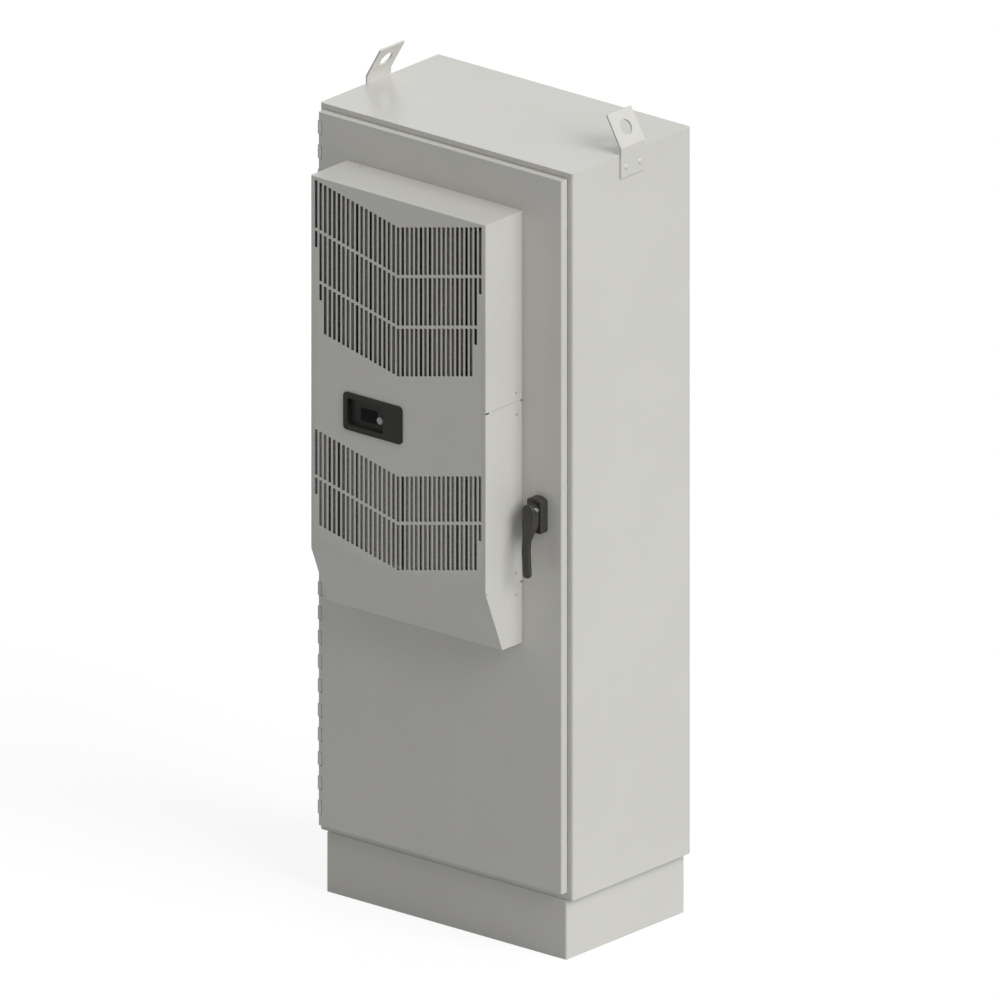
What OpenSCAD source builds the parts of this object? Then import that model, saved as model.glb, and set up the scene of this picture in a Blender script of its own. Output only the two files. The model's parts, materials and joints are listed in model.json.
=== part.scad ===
// Roadside utility cabinet: a welded floor-standing enclosure on a plinth, with one hinged door,
// a three-point latch, two lifting brackets and an air conditioner mounted on the door.
// Frame: origin at the middle of the plinth's underside, front towards -Y, up is +Z, millimetres.

/* [Cabinet body] */
// Width of the welded body, side to side
body_w = 775.5; // [700:0.5:900]
// Depth of the welded body, front flange to back
body_d = 432; // [400:1:600]
// Height of the welded body, without its plinth
body_h = 1820; // [1700:1:2100]
// Sheet thickness of the body
body_wall = 2.5; // [2:0.1:3.5]
// Outside bend radius of the body's upright edges
body_bend_r = 5; // [4:0.5:8]
// Width of the front flange round the door opening
flange_w = 34; // [32:0.5:38]
// How far the lip of the opening stands forward into the gasket
lip_depth = 12; // [9:0.5:14]

/* [Plinth] */
// Height of the plinth
plinth_h = 152; // [100:1:200]
// How far the plinth stands in from the body at each side
plinth_inset = 19; // [8:1:40]
// Sheet thickness of the plinth
plinth_wall = 3; // [2:0.5:5]
// Width of the plinth's inward flanges, top and bottom
plinth_flange = 52; // [44:1:70]
// Radius of the floor anchor holes
anchor_r = 7; // [5:0.5:9]
// Distance between floor anchors, side to side
anchor_span = 600; // [500:1:620]
// Middle of an anchor or body bolt from the plinth's outer face
bolt_edge = 27; // [24:1:30]

/* [Lifting brackets] */
// Width of a bracket
bracket_w = 88; // [76:1:110]
// Plate thickness of a bracket
bracket_t = 5; // [4:0.5:8]
// How far a bracket runs down from the roof
bracket_below = 58; // [52:1:80]
// Height of the fold above the roof
bracket_above = 16; // [8:1:30]
// Length of the leaning leg
bracket_leg = 86; // [76:1:110]
// Lean of the upper leg towards the middle, degrees
bracket_tilt = 30; // [15:1:40]
// Radius of the lifting eye
eye_r = 19; // [14:0.5:24]
// Middle of the eye above the fold, along the leg
eye_rise = 43; // [38:0.5:50]
// Corner radius at the bracket's top
bracket_corner = 4; // [2:0.5:16]
// Distance between the two bolts of a bracket
bracket_bolts = 51; // [40:1:60]
// Bolt line below the roof
bracket_drop = 33; // [26:1:36]

/* [Mounting panel] */
// Space between the panel and the body's side
panel_side = 62; // [50:1:90]
// Space between the panel and the body's top or bottom
panel_end = 90; // [60:1:140]
// Sheet thickness of the panel
panel_wall = 2.5; // [2:0.5:4]
// Depth of the panel's backward folds
panel_fold = 14; // [8:1:20]
// Stand-off of the panel from the back wall
stud_collar = 26; // [22:1:40]

/* [Door] */
// Body edge left showing above the door and beside its free edge
door_inset = 15; // [12:0.5:18]
// Body edge left showing beside the door's hinge edge
hinge_inset = 12; // [10:0.5:16]
// Body edge left showing below the door
door_foot = 19; // [14:0.5:22]
// Depth of the door's folded edge
door_depth = 20.5; // [19:0.5:26]
// Space between the folded edge and the body
door_gap = 2; // [1.5:0.1:3]
// Sheet thickness of the door
door_wall = 2; // [1.5:0.1:2.5]
// Inward fold along the door's back edge
door_lip = 7.5; // [6:0.5:7.5]
// Outside bend radius of the door's upright edges
door_bend_r = 4.5; // [3:0.1:6]
// Width of the door gasket
gasket_w = 13; // [9:0.5:14]
// Space left between the gasket and the body's lip
gasket_gap = 0.3; // [0.2:0.05:0.6]
// Width of the stiffening channel inside the door
stiffener_w = 40; // [30:1:50]
// Space between the channel's end and the end of the opening
stiffener_end = 60; // [40:1:100]

/* [Hinge] */
// Distance from one body knuckle to the next
hinge_pitch = 60.8; // [56:0.1:70]
// Length of a body knuckle
knuckle_len = 32; // [28:0.5:34]
// Space between the ends of neighbouring knuckles
knuckle_gap = 1; // [0.5:0.1:2]
// First body knuckle below the door's top edge
hinge_top = 22.7; // [15:0.1:40]
// Outside radius of the body's knuckles
knuckle_r = 7.5; // [7:0.1:8]
// Radius of the hinge pin
hinge_pin_r = 2.5; // [2:0.1:3]
// Hinge axis inside the door's hinge edge
hinge_in = 3.4; // [3:0.1:4]
// Hinge axis behind the door's front face
hinge_back = 6.5; // [6:0.1:7.5]
// Sheet thickness of the hinge leaves
hinge_leaf = 2; // [1.5:0.1:2.2]
// Space between a body knuckle and the notch in the door's edge
notch_clear = 1.2; // [1:0.1:2]

/* [Handle] */
// Handle axis from the door's free edge
handle_edge = 65.5; // [60:0.5:75]
// Handle axis below the roof
handle_drop = 846; // [700:1:1000]
// Width of the handle's base
base_w = 45; // [44:1:56]
// Height of the handle's base
base_h = 88; // [80:1:110]
// Depth of the handle's base
base_depth = 24; // [20:0.5:30]
// Top of the base above the handle axis
base_above = 30; // [26:1:36]
// Rise of the base's arched top
base_arch = 8; // [4:0.5:12]
// Half the width of the lever's boss
lever_r = 18.5; // [16:0.5:20]
// Depth of the lever's boss
lever_t = 23; // [20:0.5:28]
// Overall length of the lever
lever_len = 181; // [170:1:210]
// Width of the grip
grip_w = 22; // [18:0.5:26]
// Thickness of the grip
grip_t = 13; // [10:0.5:16]
// How far the grip swells outwards half-way down
grip_swell = 10.5; // [4:0.5:12]
// How far the grip's tip comes back
grip_return = 3.5; // [0:0.5:6]
// Radius of the lock cylinder in the boss
lock_r = 4.8; // [4:0.1:6]
// How far the lock cylinder stands out of the boss
lock_out = 3.5; // [2:0.5:6]

/* [Latch] */
// Radius of the handle's spindle
spindle_r = 8; // [7:0.5:9]
// Radial clearance of every turning fit
run_clear = 0.1; // [0.05:0.01:0.2]
// Radius at which the cam drives the rods
cam_r = 22; // [20:0.5:24]
// Thickness of the cam
cam_t = 5; // [4:0.5:6]
// Radius of the cam's drive pins
drive_pin_r = 4; // [3:0.5:4.5]
// Width of a latch rod
rod_w = 20; // [16:0.5:22]
// Thickness of a latch rod
rod_t = 4; // [3:0.5:5]
// Radius of a latch roller
roller_r = 9; // [8:0.5:11]
// Width of a latch roller
roller_w = 9; // [7:0.5:10]
// Radius of the roller's pin
roller_pin_r = 3; // [2.5:0.1:4]
// Space between a closed roller and the body's flange
roller_gap = 0.4; // [0.3:0.05:0.8]
// How far a closed roller's middle reaches past the opening
rod_reach = 5; // [3:0.5:7]
// Rod guide from the end of the opening
guide_end = 140; // [100:1:240]

/* [Air conditioner] */
// Space between the door's hinge edge and the cover
ac_hinge_gap = 89.5; // [80:0.5:110]
// Space between the cover and the handle's base
ac_handle_gap = 32.7; // [30:0.1:50]
// Height of the cover
ac_h = 1082; // [1060:1:1200]
// Depth of the cover from the door's face
ac_depth = 134; // [128:0.5:150]
// Top of the cover below the roof
ac_drop = 115; // [90:1:180]
// Sheet thickness of the cover
ac_wall = 1.5; // [1:0.1:2]
// Outside bend radius of the cover
ac_bend_r = 4; // [3:0.5:6]
// Height of the slanted lower front
slant_h = 154; // [120:1:180]
// Set-back of the cover's front at its bottom edge
slant_back = 61; // [40:1:70]
// Thickness of the gasket behind the chassis
ac_seal = 4; // [3:0.5:6]
// Sheet thickness of the chassis
chassis_wall = 2; // [1.5:0.1:3]
// Forward flange of the chassis
chassis_flange = 32; // [28:1:40]
// Space between the chassis and the cover
cover_clear = 0.4; // [0.3:0.05:0.8]
// Space between the air box and the cover's side, seen from the front
air_box_side = 45.5; // [40:0.5:60]
// Space between the air box and the cover's top, seen from the front
air_box_top = 60; // [50:1:80]
// Space between the air box and the cover's lower edge, seen from the front
air_box_foot = 122; // [100:1:150]
// Depth of the air box behind the door
air_box_depth = 114; // [110:1:140]

/* [Grilles] */
// Width of a slot
slot_w = 8; // [4:0.1:9]
// Distance between slot columns
slot_pitch = 14; // [12:0.05:16]
// Least distance from the middle of a slot to the cover's side
slot_edge = 14; // [12:0.5:24]
// Fall of the slot pattern towards the middle, degrees
chevron = 13.2; // [0:0.1:14]
// Length of an upper slot
upper_slot = 119; // [100:1:124]
// Sheet left between upper slots
upper_bar = 8; // [6:0.5:12]
// Top of the middle upper slot below the cover's top
upper_drop = 68.5; // [66:0.5:80]
// Space between the bezel and the middle lower slot
lower_gap = 82.3; // [70:0.1:100]
// Sheet left between lower slots
lower_bar = 8.5; // [6:0.5:12]
// Foot of the middle lower slot above the slanted front
lower_rise = 1; // [0.5:0.5:12]
// Length of the shortened slots at the outer edge
short_slot = 40; // [20:1:60]

/* [Controller] */
// Width of the bezel
bezel_w = 180; // [170:1:200]
// Height of the bezel
bezel_h = 94; // [86:1:100]
// Corner radius of the bezel
bezel_corner = 10; // [4:0.5:16]
// How far the bezel stands proud of the cover
bezel_proud = 4; // [2:0.5:6]
// Middle of the bezel below the cover's top
bezel_drop = 563.2; // [550:0.1:580]
// Space between the cover's left side and the bezel
bezel_edge = 103; // [60:1:140]
// Width of the bezel's recess
recess_w = 109; // [104:1:116]
// Height of the bezel's recess
recess_h = 66; // [58:1:72]
// Depth of the bezel's recess
recess_depth = 13; // [10:0.5:15]
// Recess from the bezel's left edge
recess_left = 13; // [10:0.5:18]
// Width of the display
display_w = 49; // [40:0.5:52]
// Height of the display
display_h = 31; // [24:0.5:36]
// Radius of the button
button_r = 9; // [6:0.1:10]
// Travel of the button
button_travel = 1.5; // [1:0.1:2.5]

/* [Refrigeration] */
// Space between the condenser's end plate and the cover's side
coil_side = 25.5; // [22:0.5:40]
// Depth of the condenser's fin pack
coil_t = 32; // [26:1:36]
// Distance between fins
fin_pitch = 6; // [5:0.5:10]
// Thickness of a fin
fin_t = 1.4; // [1:0.1:2.5]
// Radius of the condenser fan
fan_r = 150; // [130:1:160]
// Number of blades on the condenser fan
fan_blades = 5; // [3:1:7]
// Radius of the fan hub
hub_r = 45; // [36:1:50]
// Radius of the indoor impeller
impeller_r = 92; // [80:1:98]
// Number of blades on the impeller
impeller_blades = 9; // [7:1:11]
// Radius of the compressor's shell
compressor_r = 50; // [40:0.5:52]
// Height of the compressor's shell
compressor_h = 190; // [170:1:200]
// Radius of the refrigerant pipes
pipe_r = 5; // [4:0.5:6]
// Bend radius of the refrigerant pipes
pipe_bend = 16; // [12:1:18]
// Thickness of the air filter
filter_t = 9; // [6:0.5:12]

/* [Hidden] */
$fn = 48;

// Colours
paint = [0.80, 0.80, 0.78];
black = [0.13, 0.13, 0.12];
zinc = [0.72, 0.73, 0.74];
rubber = [0.10, 0.10, 0.10];
alloy = [0.62, 0.63, 0.65];
copper = [0.72, 0.45, 0.30];
nylon = [0.85, 0.84, 0.80];

// Levels of the cabinet and its door
base_z = plinth_h;
top_z = plinth_h + body_h;
front_y = -body_d / 2;
back_y = body_d / 2;
inner_back_y = back_y - body_wall;
plinth_w = body_w - 2 * plinth_inset;
open_w = body_w - 2 * flange_w;
open_h = body_h - 2 * flange_w;
open_z = base_z + flange_w;
open_top = open_z + open_h;
door_left = -body_w / 2 + hinge_inset;
door_right = body_w / 2 - door_inset;
door_h = body_h - door_inset - door_foot;
door_z = base_z + door_foot;
door_top = door_z + door_h;
door_back_y = front_y - door_gap;
door_front_y = door_back_y - door_depth;
door_inner_y = door_front_y + door_wall;
anchor_y = body_d / 2 - bolt_edge;
bolt_x = plinth_w / 2 - bolt_edge;

// Bolts of the structure
bolt_r = 5;
bolt_hole_r = 5.5;
bolt_af = 16;
bolt_head = 6.5;
dome_r = 7.5;
dome_h = 3;
nut_h = 8;
thread_end = 3;

// Mounting panel
panel_w = body_w - 2 * body_wall - 2 * panel_side;
panel_h = body_h - 2 * body_wall - 2 * panel_end;
panel_z = base_z + body_wall + panel_end;
panel_back_y = inner_back_y - stud_collar;
panel_front_y = panel_back_y - panel_wall;
stud_edge = 30;
stud_spots = [for (x = [-1, 1], k = [0, 0.5, 1])
    [x * (panel_w / 2 - stud_edge), panel_z + stud_edge + k * (panel_h - 2 * stud_edge)]];

// Hinge
hinge_x = door_left + hinge_in;
hinge_y = door_front_y + hinge_back;
notch_right = hinge_x + knuckle_r + notch_clear;
notch_back = hinge_y + knuckle_r + notch_clear;
hinge_count = floor((door_h - 2 * hinge_top - knuckle_len) / hinge_pitch) + 1;
hinge_len = (hinge_count - 1) * hinge_pitch + knuckle_len;
hinge_z = door_top - hinge_top - hinge_len;
leaf_web = 6;
leaf_foot = 2.5;

// Handle and latch
handle_x = door_right - handle_edge;
handle_z = top_z - handle_drop;
base_front_y = door_front_y - base_depth;
lever_back_y = base_front_y - 0.5;
boss_end = 50;
grip_start = 92;
swell_at = 112;
tip_round = 6;
lock_rise = 7;
lock_deep = 12;
base_screw_r = 2.5;
base_screws = [handle_z + base_above - 12, handle_z + base_above - base_h + 10];
base_screw_deep = 12;
bush_len = 14;
flange_inner_y = front_y + body_wall;
roller_y = flange_inner_y + roller_gap + roller_r;
rod_front_y = roller_y - rod_t / 2;
cam_back_y = rod_front_y - 0.6;
cam_front_y = cam_back_y - cam_t;
square_half = spindle_r * 0.66;
rod_shift = cam_r * (1 + cos(45)) / 2;
upper_x = handle_x - rod_shift;
lower_x = handle_x + rod_shift;
pin_rest = cam_r * sin(45);
yoke_slack = cam_r * 0.03 + 0.3;
slot_half = cam_r * (1 - cos(45)) / 2 + 0.6;
yoke_half_w = slot_half + drive_pin_r + 4;
yoke_half_h = drive_pin_r + yoke_slack + 6;
upper_roller_z = open_top + rod_reach;
lower_roller_z = open_z - rod_reach;
guide_half = 15;
guide_clear = 0.4;
ear_gap = 0.5;
ear_t = 3;

// Levels of the air conditioner: o counts outwards from the door's face, d down from the cover's top
ac_w = handle_x - base_w / 2 - ac_handle_gap - door_left - ac_hinge_gap;
ac_x = door_left + ac_hinge_gap + ac_w / 2;
ac_top = top_z - ac_drop;
plate_o = ac_seal + chassis_wall;
skin_o = ac_depth - ac_wall;
slant_d = ac_h - slant_h;
chassis_half = ac_w / 2 - ac_wall - cover_clear;
air_box_w = ac_w - 2 * air_box_side;
air_box_d = air_box_top;
air_box_end = ac_h - air_box_foot;
air_box_o = -door_wall - air_box_depth;
air_box_wall = 1.5;
cut_clear = 6;
slot_half_n = floor((ac_w / 2 - slot_edge) / slot_pitch);
fall = tan(chevron);
upper_end = upper_drop + 3 * upper_slot + 2 * upper_bar;
bezel_d = bezel_drop;
lower_drop = bezel_d + bezel_h / 2 + lower_gap;
lower_slot = (slant_d - lower_rise - lower_bar - lower_drop) / 2;
seam_gap = 31.5;
seam_d = upper_end + seam_gap;
seam_h = 0.8;
seam_screws = [seam_d - 24, seam_d + 31, slant_d - 26, slant_d + 27];
side_screw_o = 22;
end_screw_o = 14;
end_screw_x = ac_w / 2 - 53;
screw_r = 2;
screw_head_r = 4.5;
screw_head = 2.4;

// Controller
bezel_x = -ac_w / 2 + bezel_edge + bezel_w / 2;
recess_x = bezel_x - bezel_w / 2 + recess_left + recess_w / 2;
bezel_front = ac_depth + bezel_proud;
recess_o = bezel_front - recess_depth;
bezel_back = recess_o - 5;
bezel_wall = 3;
button_x = recess_x + recess_w / 2 - 7.5 - button_r;
button_d = bezel_d + 6;
display_x = button_x - button_r - 2.5 - display_w / 2;
display_d = bezel_d + 3;
display_t = 2;
button_out = 5;

// Condenser, fan, compressor
coil_w = ac_w - 2 * coil_side;
coil_gap = 6;
coil_front = skin_o - coil_gap;
coil_back = coil_front - coil_t;
coil_d = 26;
coil_end = upper_end + 4;
coil_plate = 2;
tube_r = 4;
tube_bend = 9;
tube_pitch = 44;
tube_rows = floor((coil_end - coil_d - 40) / tube_pitch);
fan_d = (coil_d + coil_end) / 2;
fan_tip_gap = 6;
shroud_t = 2;
shroud_gap = 0.3;
shroud_front = coil_back - shroud_gap;
shroud_depth = 28;
motor_r = hub_r - 2;
fan_back = 56;
fan_front = shroud_front - shroud_t - 2;
motor_front = fan_back - 5;
shaft_r = 5;
shaft_end = fan_front - 10;
filter_front = skin_o - 0.4;
filter_d = lower_drop - slot_half_n * slot_pitch * fall - 4;
filter_end = slant_d - 3;
compressor_x = -0.22 * ac_w;
compressor_o = plate_o + 8 + compressor_r;
shelf_d = slant_d - 8;
shelf_t = 3;
feet_h = 10;
compressor_foot = shelf_d - feet_h;
foot_t = 3;
foot_angles = [0, 130, 230];
compressor_top = compressor_foot - foot_t - compressor_h;
shelf_half = compressor_r + 26;
shelf_drop = compressor_r;
pipe_o = compressor_o + 12;
pipe_x = compressor_x + 14;
pipe_end_o = (coil_front + coil_back) / 2;
discharge_rise = 34;
suction_rise = 40;
box_left = 0.13 * ac_w;
box_w = 0.26 * ac_w;
box_tall = 200;
box_deep = 70;
box_rise = 255.5;
box_d = slant_d - box_rise;
suction_x = compressor_x + compressor_r + 22;
suction_d = compressor_top - 60;

// Air box
blower_d = 236;
inlet_r = 66;
box_skin = air_box_o + air_box_wall;
impeller_back = -42;
impeller_front = box_skin + 14;
blower_motor_end = impeller_back + 5;
evap_half = air_box_w / 2 - 17;
evap_rise = 110;
evap_h = 290;
evap_end = air_box_end - evap_rise;
evap_d = evap_end - evap_h;
evap_front = -30;
evap_back = -74;
tray_d = air_box_end - air_box_wall;
tray_h = 30;
supply_w = air_box_w - 124;
supply_h = 200;
supply_rise = 320;
supply_d = air_box_end - supply_rise;
guard_wire = 1.8;
guard_out = 6;
guard_rings = [for (k = [0:3]) inlet_r * (1 - 0.2425 * k)];

// Points and outlines
function arc(c, r, a0, a1, n) = [for (i = [0:n]) c + r * [cos(a0 + (a1 - a0) * i / n),
    sin(a0 + (a1 - a0) * i / n)]];
function rounded(w, h, r, n) = concat(arc([w / 2 - r, h / 2 - r], r, 0, 90, n),
    arc([-w / 2 + r, h / 2 - r], r, 90, 180, n), arc([-w / 2 + r, -h / 2 + r], r, 180, 270, n),
    arc([w / 2 - r, -h / 2 + r], r, 270, 360, n));
function ease(a, b, t) = let(u = min(1, max(0, (t - a) / (b - a)))) u * u * (3 - 2 * u);
function bow(a, k) = sign(a) * pow(abs(a), k);

// Places
module extrude_y(y0, y1) translate([0, y1, 0]) rotate([90, 0, 0]) linear_extrude(y1 - y0) children();
module extrude_x(x0, x1) translate([x0, 0, 0]) rotate([90, 0, 90]) linear_extrude(x1 - x0) children();
module rod_x(x0, x1, y, z, r) translate([x0, y, z]) rotate([0, 90, 0]) cylinder(h = x1 - x0, r = r);
module rod_y(x, y0, y1, z, r) translate([x, y0, z]) rotate([-90, 0, 0]) cylinder(h = y1 - y0, r = r);
module rod_z(x, y, z0, z1, r) translate([x, y, z0]) cylinder(h = z1 - z0, r = r);
module hex_z(x, y, z0, z1, af) translate([x, y, z0]) cylinder(h = z1 - z0, r = af / 2 / cos(30), $fn = 6);
module hex_x(x0, x1, y, z, af)
    translate([x0, y, z]) rotate([0, 90, 0]) cylinder(h = x1 - x0, r = af / 2 / cos(30), $fn = 6);
module hex_y(x, y0, y1, z, af)
    translate([x, y0, z]) rotate([-90, 0, 0]) cylinder(h = y1 - y0, r = af / 2 / cos(30), $fn = 6);
module slab(x0, x1, y0, y1, z0, z1) translate([x0, y0, z0]) cube([x1 - x0, y1 - y0, z1 - z0]);
module block(w, d, h, r, z) translate([0, 0, z]) linear_extrude(h) polygon(rounded(w, d, r, 5));
function out(o) = door_front_y - o;
function down(d) = ac_top - d;
module ac_box(x0, x1, o0, o1, d0, d1) slab(ac_x + x0, ac_x + x1, out(o1), out(o0), down(d1), down(d0));
module ac_rod(x, o0, o1, d, r) rod_y(ac_x + x, out(o1), out(o0), down(d), r);

// A closed skin through a list of rings
module loft(rings) {
    n = len(rings[0]);
    m = len(rings);
    polyhedron(
        points = [for (ring = rings) each ring],
        faces = concat(
            [for (i = [0:n / 2 - 2]) each [[i, n - 2 - i, i + 1], [i, n - 1 - i, n - 2 - i]]],
            [for (k = [0:m - 2], i = [0:n - 1])
                [k * n + i, k * n + (i + 1) % n, (k + 1) * n + (i + 1) % n]],
            [for (k = [0:m - 2], i = [0:n - 1])
                [k * n + i, (k + 1) * n + (i + 1) % n, (k + 1) * n + i]],
            [for (i = [0:n / 2 - 2], e = [(m - 1) * n])
                each [[e + i, e + i + 1, e + n - 2 - i], [e + i, e + n - 2 - i, e + n - 1 - i]]]));
}

// A bent pipe through axis-parallel corners
module pipe(p, r, bend) {
    last = len(p) - 1;
    for (i = [0:last - 1]) {
        u = (p[i + 1] - p[i]) / norm(p[i + 1] - p[i]);
        a = p[i] + (i == 0 ? 0 : bend) * u;
        b = p[i + 1] - (i == last - 1 ? 0 : bend) * u;
        v = abs(u.z) > 0.5 ? [1, 0, 0] : [0, 0, 1];
        w = cross(u, v);
        multmatrix([[v.x, w.x, u.x, a.x], [v.y, w.y, u.y, a.y], [v.z, w.z, u.z, a.z], [0, 0, 0, 1]])
            cylinder(h = norm(b - a), r = r);
        if (i < last - 1) {
            f = (p[i + 2] - p[i + 1]) / norm(p[i + 2] - p[i + 1]);
            c = p[i + 1] - bend * u + bend * f;
            g = cross(u, f);
            multmatrix([[-f.x, u.x, g.x, c.x], [-f.y, u.y, g.y, c.y], [-f.z, u.z, g.z, c.z], [0, 0, 0, 1]])
                rotate_extrude(angle = 90) translate([bend, 0]) circle(r);
        }
    }
}

// Cabinet body and plinth
module enclosure_body() color(paint) difference() {
    union() {
        difference() {
            block(body_w, body_d, body_h, body_bend_r, base_z);
            block(body_w - 2 * body_wall, body_d - 2 * body_wall, body_h - 2 * body_wall,
                body_bend_r - body_wall, base_z + body_wall);
            slab(-open_w / 2, open_w / 2, front_y - 1, front_y + body_wall + 1, open_z, open_top);
        }
        difference() {
            slab(-open_w / 2 - body_wall, open_w / 2 + body_wall, front_y - lip_depth, front_y + body_wall,
                open_z - body_wall, open_top + body_wall);
            slab(-open_w / 2, open_w / 2, front_y - lip_depth - 1, front_y + body_wall + 1, open_z,
                open_top);
        }
    }
    for (y = [-1, 1])
        rod_x(-body_w / 2 - 1, body_w / 2 + 1, y * bracket_bolts / 2, top_z - bracket_drop, bolt_hole_r);
    for (x = [-1, 1], y = [-1, 1])
        rod_z(x * bolt_x, y * anchor_y, base_z - 1, base_z + body_wall + 1, bolt_hole_r);
}

module plinth() color(paint) difference() {
    block(plinth_w, body_d, plinth_h, body_bend_r, 0);
    block(plinth_w - 2 * plinth_wall, body_d - 2 * plinth_wall, plinth_h - 2 * plinth_wall, 2, plinth_wall);
    block(plinth_w - 2 * plinth_flange, body_d - 2 * plinth_flange, plinth_h + 2, 8, -1);
    for (x = [-1, 1], y = [-1, 1]) {
        rod_z(x * anchor_span / 2, y * anchor_y, -1, plinth_wall + 1, anchor_r);
        rod_z(x * bolt_x, y * anchor_y, plinth_h - plinth_wall - 1, plinth_h + 1, bolt_hole_r);
    }
}

module plinth_bolts() color(zinc) for (x = [-1, 1], y = [-1, 1]) {
    z = base_z + body_wall;
    hex_z(x * bolt_x, y * anchor_y, z, z + bolt_head, bolt_af);
    rod_z(x * bolt_x, y * anchor_y, plinth_h - plinth_wall - nut_h - thread_end, z + 1, bolt_r);
    hex_z(x * bolt_x, y * anchor_y, plinth_h - plinth_wall - nut_h, plinth_h - plinth_wall, bolt_af);
}

// Lifting brackets
module lifting_bracket() translate([body_w / 2, 0, top_z + bracket_above]) difference() {
    extrude_y(-bracket_w / 2, bracket_w / 2) polygon(concat(
        [[0, 0], [0, -bracket_above - bracket_below], [bracket_t, -bracket_above - bracket_below]],
        arc([0, 0], bracket_t, 0, bracket_tilt, 5),
        [bracket_t * [cos(bracket_tilt), sin(bracket_tilt)]
            + bracket_leg * [-sin(bracket_tilt), cos(bracket_tilt)],
        bracket_leg * [-sin(bracket_tilt), cos(bracket_tilt)]]));
    rotate([0, -bracket_tilt, 0]) {
        rod_x(-1, bracket_t + 1, 0, eye_rise, eye_r);
        for (side = [0, 1]) mirror([0, side, 0]) extrude_x(-1, bracket_t + 1) polygon(concat(
            [[bracket_w / 2 + 1, bracket_leg - bracket_corner], [bracket_w / 2 + 1, bracket_leg + 1],
                [bracket_w / 2 - bracket_corner, bracket_leg + 1]],
            arc([bracket_w / 2 - bracket_corner, bracket_leg - bracket_corner], bracket_corner, 90, 0, 6)));
    }
    for (y = [-1, 1])
        rod_x(-1, bracket_t + 1, y * bracket_bolts / 2, -bracket_above - bracket_drop, bolt_hole_r);
}

module lifting_bracket_right() color(paint) lifting_bracket();

module lifting_bracket_left() color(paint) mirror([1, 0, 0]) lifting_bracket();

module lifting_bolts() color(paint) for (side = [0, 1], y = [-1, 1]) mirror([side, 0, 0]) {
    z = top_z - bracket_drop;
    x = body_w / 2 - body_wall;
    ball = (dome_r * dome_r + dome_h * dome_h) / (2 * dome_h);
    translate([x + body_wall + bracket_t, y * bracket_bolts / 2, z]) rotate([0, 90, 0]) rotate_extrude()
        polygon(concat([[0, 0]], arc([0, dome_h - ball], ball, asin(1 - dome_h / ball), 90, 6)));
    rod_x(x - nut_h - thread_end, x + body_wall + bracket_t + 1, y * bracket_bolts / 2, z, bolt_r);
    hex_x(x - nut_h, x, y * bracket_bolts / 2, z, bolt_af);
}

// Equipment panel inside
module mounting_panel() color(zinc) difference() {
    slab(-panel_w / 2, panel_w / 2, panel_front_y, panel_back_y + panel_fold, panel_z, panel_z + panel_h);
    slab(-panel_w / 2 + panel_wall, panel_w / 2 - panel_wall, panel_back_y, inner_back_y,
        panel_z + panel_wall, panel_z + panel_h - panel_wall);
    for (p = stud_spots) rod_y(p.x, panel_front_y - 1, panel_back_y + 1, p.y, bolt_hole_r);
}

module panel_studs() color(zinc) for (p = stud_spots) {
    rod_y(p.x, panel_back_y, inner_back_y, p.y, 9);
    rod_y(p.x, panel_front_y - nut_h - thread_end, panel_back_y + 1, p.y, bolt_r);
}

module panel_nuts() color(zinc) for (p = stud_spots) difference() {
    union() {
        hex_y(p.x, panel_front_y - nut_h, panel_front_y - 1.5, p.y, bolt_af);
        rod_y(p.x, panel_front_y - 2, panel_front_y, p.y, 10);
    }
    rod_y(p.x, panel_front_y - nut_h - 1, panel_front_y + 1, p.y, bolt_r + run_clear);
}

// Continuous hinge
function knuckle_z(i) = hinge_z + i * hinge_pitch;

module hinge_body_leaf() color(paint) {
    x = hinge_x - knuckle_r;
    translate([0, 0, hinge_z]) linear_extrude(hinge_len) {
        translate([x, front_y - leaf_web]) square([hinge_leaf, leaf_web]);
        translate([x - leaf_foot, front_y - hinge_leaf]) square([leaf_foot + 1, hinge_leaf]);
    }
    for (i = [0:hinge_count - 1]) translate([0, 0, knuckle_z(i)]) linear_extrude(knuckle_len) difference() {
        union() {
            translate([hinge_x, hinge_y]) circle(knuckle_r);
            translate([x, hinge_y]) square([hinge_leaf, front_y - hinge_y]);
        }
        translate([hinge_x, hinge_y]) circle(hinge_pin_r + run_clear);
    }
}

module hinge_pin() color(zinc) rod_z(hinge_x, hinge_y, hinge_z, hinge_z + hinge_len, hinge_pin_r);

module hinge_door_leaf() color(paint) {
    x = door_left + door_wall;
    back = door_back_y - door_wall;
    translate([x, notch_back, hinge_z]) cube([hinge_leaf, back - notch_back, hinge_len]);
    for (i = [0:hinge_count - 2])
        translate([0, 0, knuckle_z(i) + knuckle_len + knuckle_gap])
            linear_extrude(hinge_pitch - knuckle_len - 2 * knuckle_gap) difference() {
                union() {
                    polygon(concat([[notch_right, notch_back], [door_left, notch_back]],
                        arc([door_left + door_bend_r, door_front_y + door_bend_r], door_bend_r, 180, 270, 5),
                        [[notch_right, door_front_y]]));
                    translate([x, notch_back - 1]) square([hinge_leaf, 2]);
                }
                translate([hinge_x, hinge_y]) circle(hinge_pin_r + run_clear);
            }
}

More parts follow.
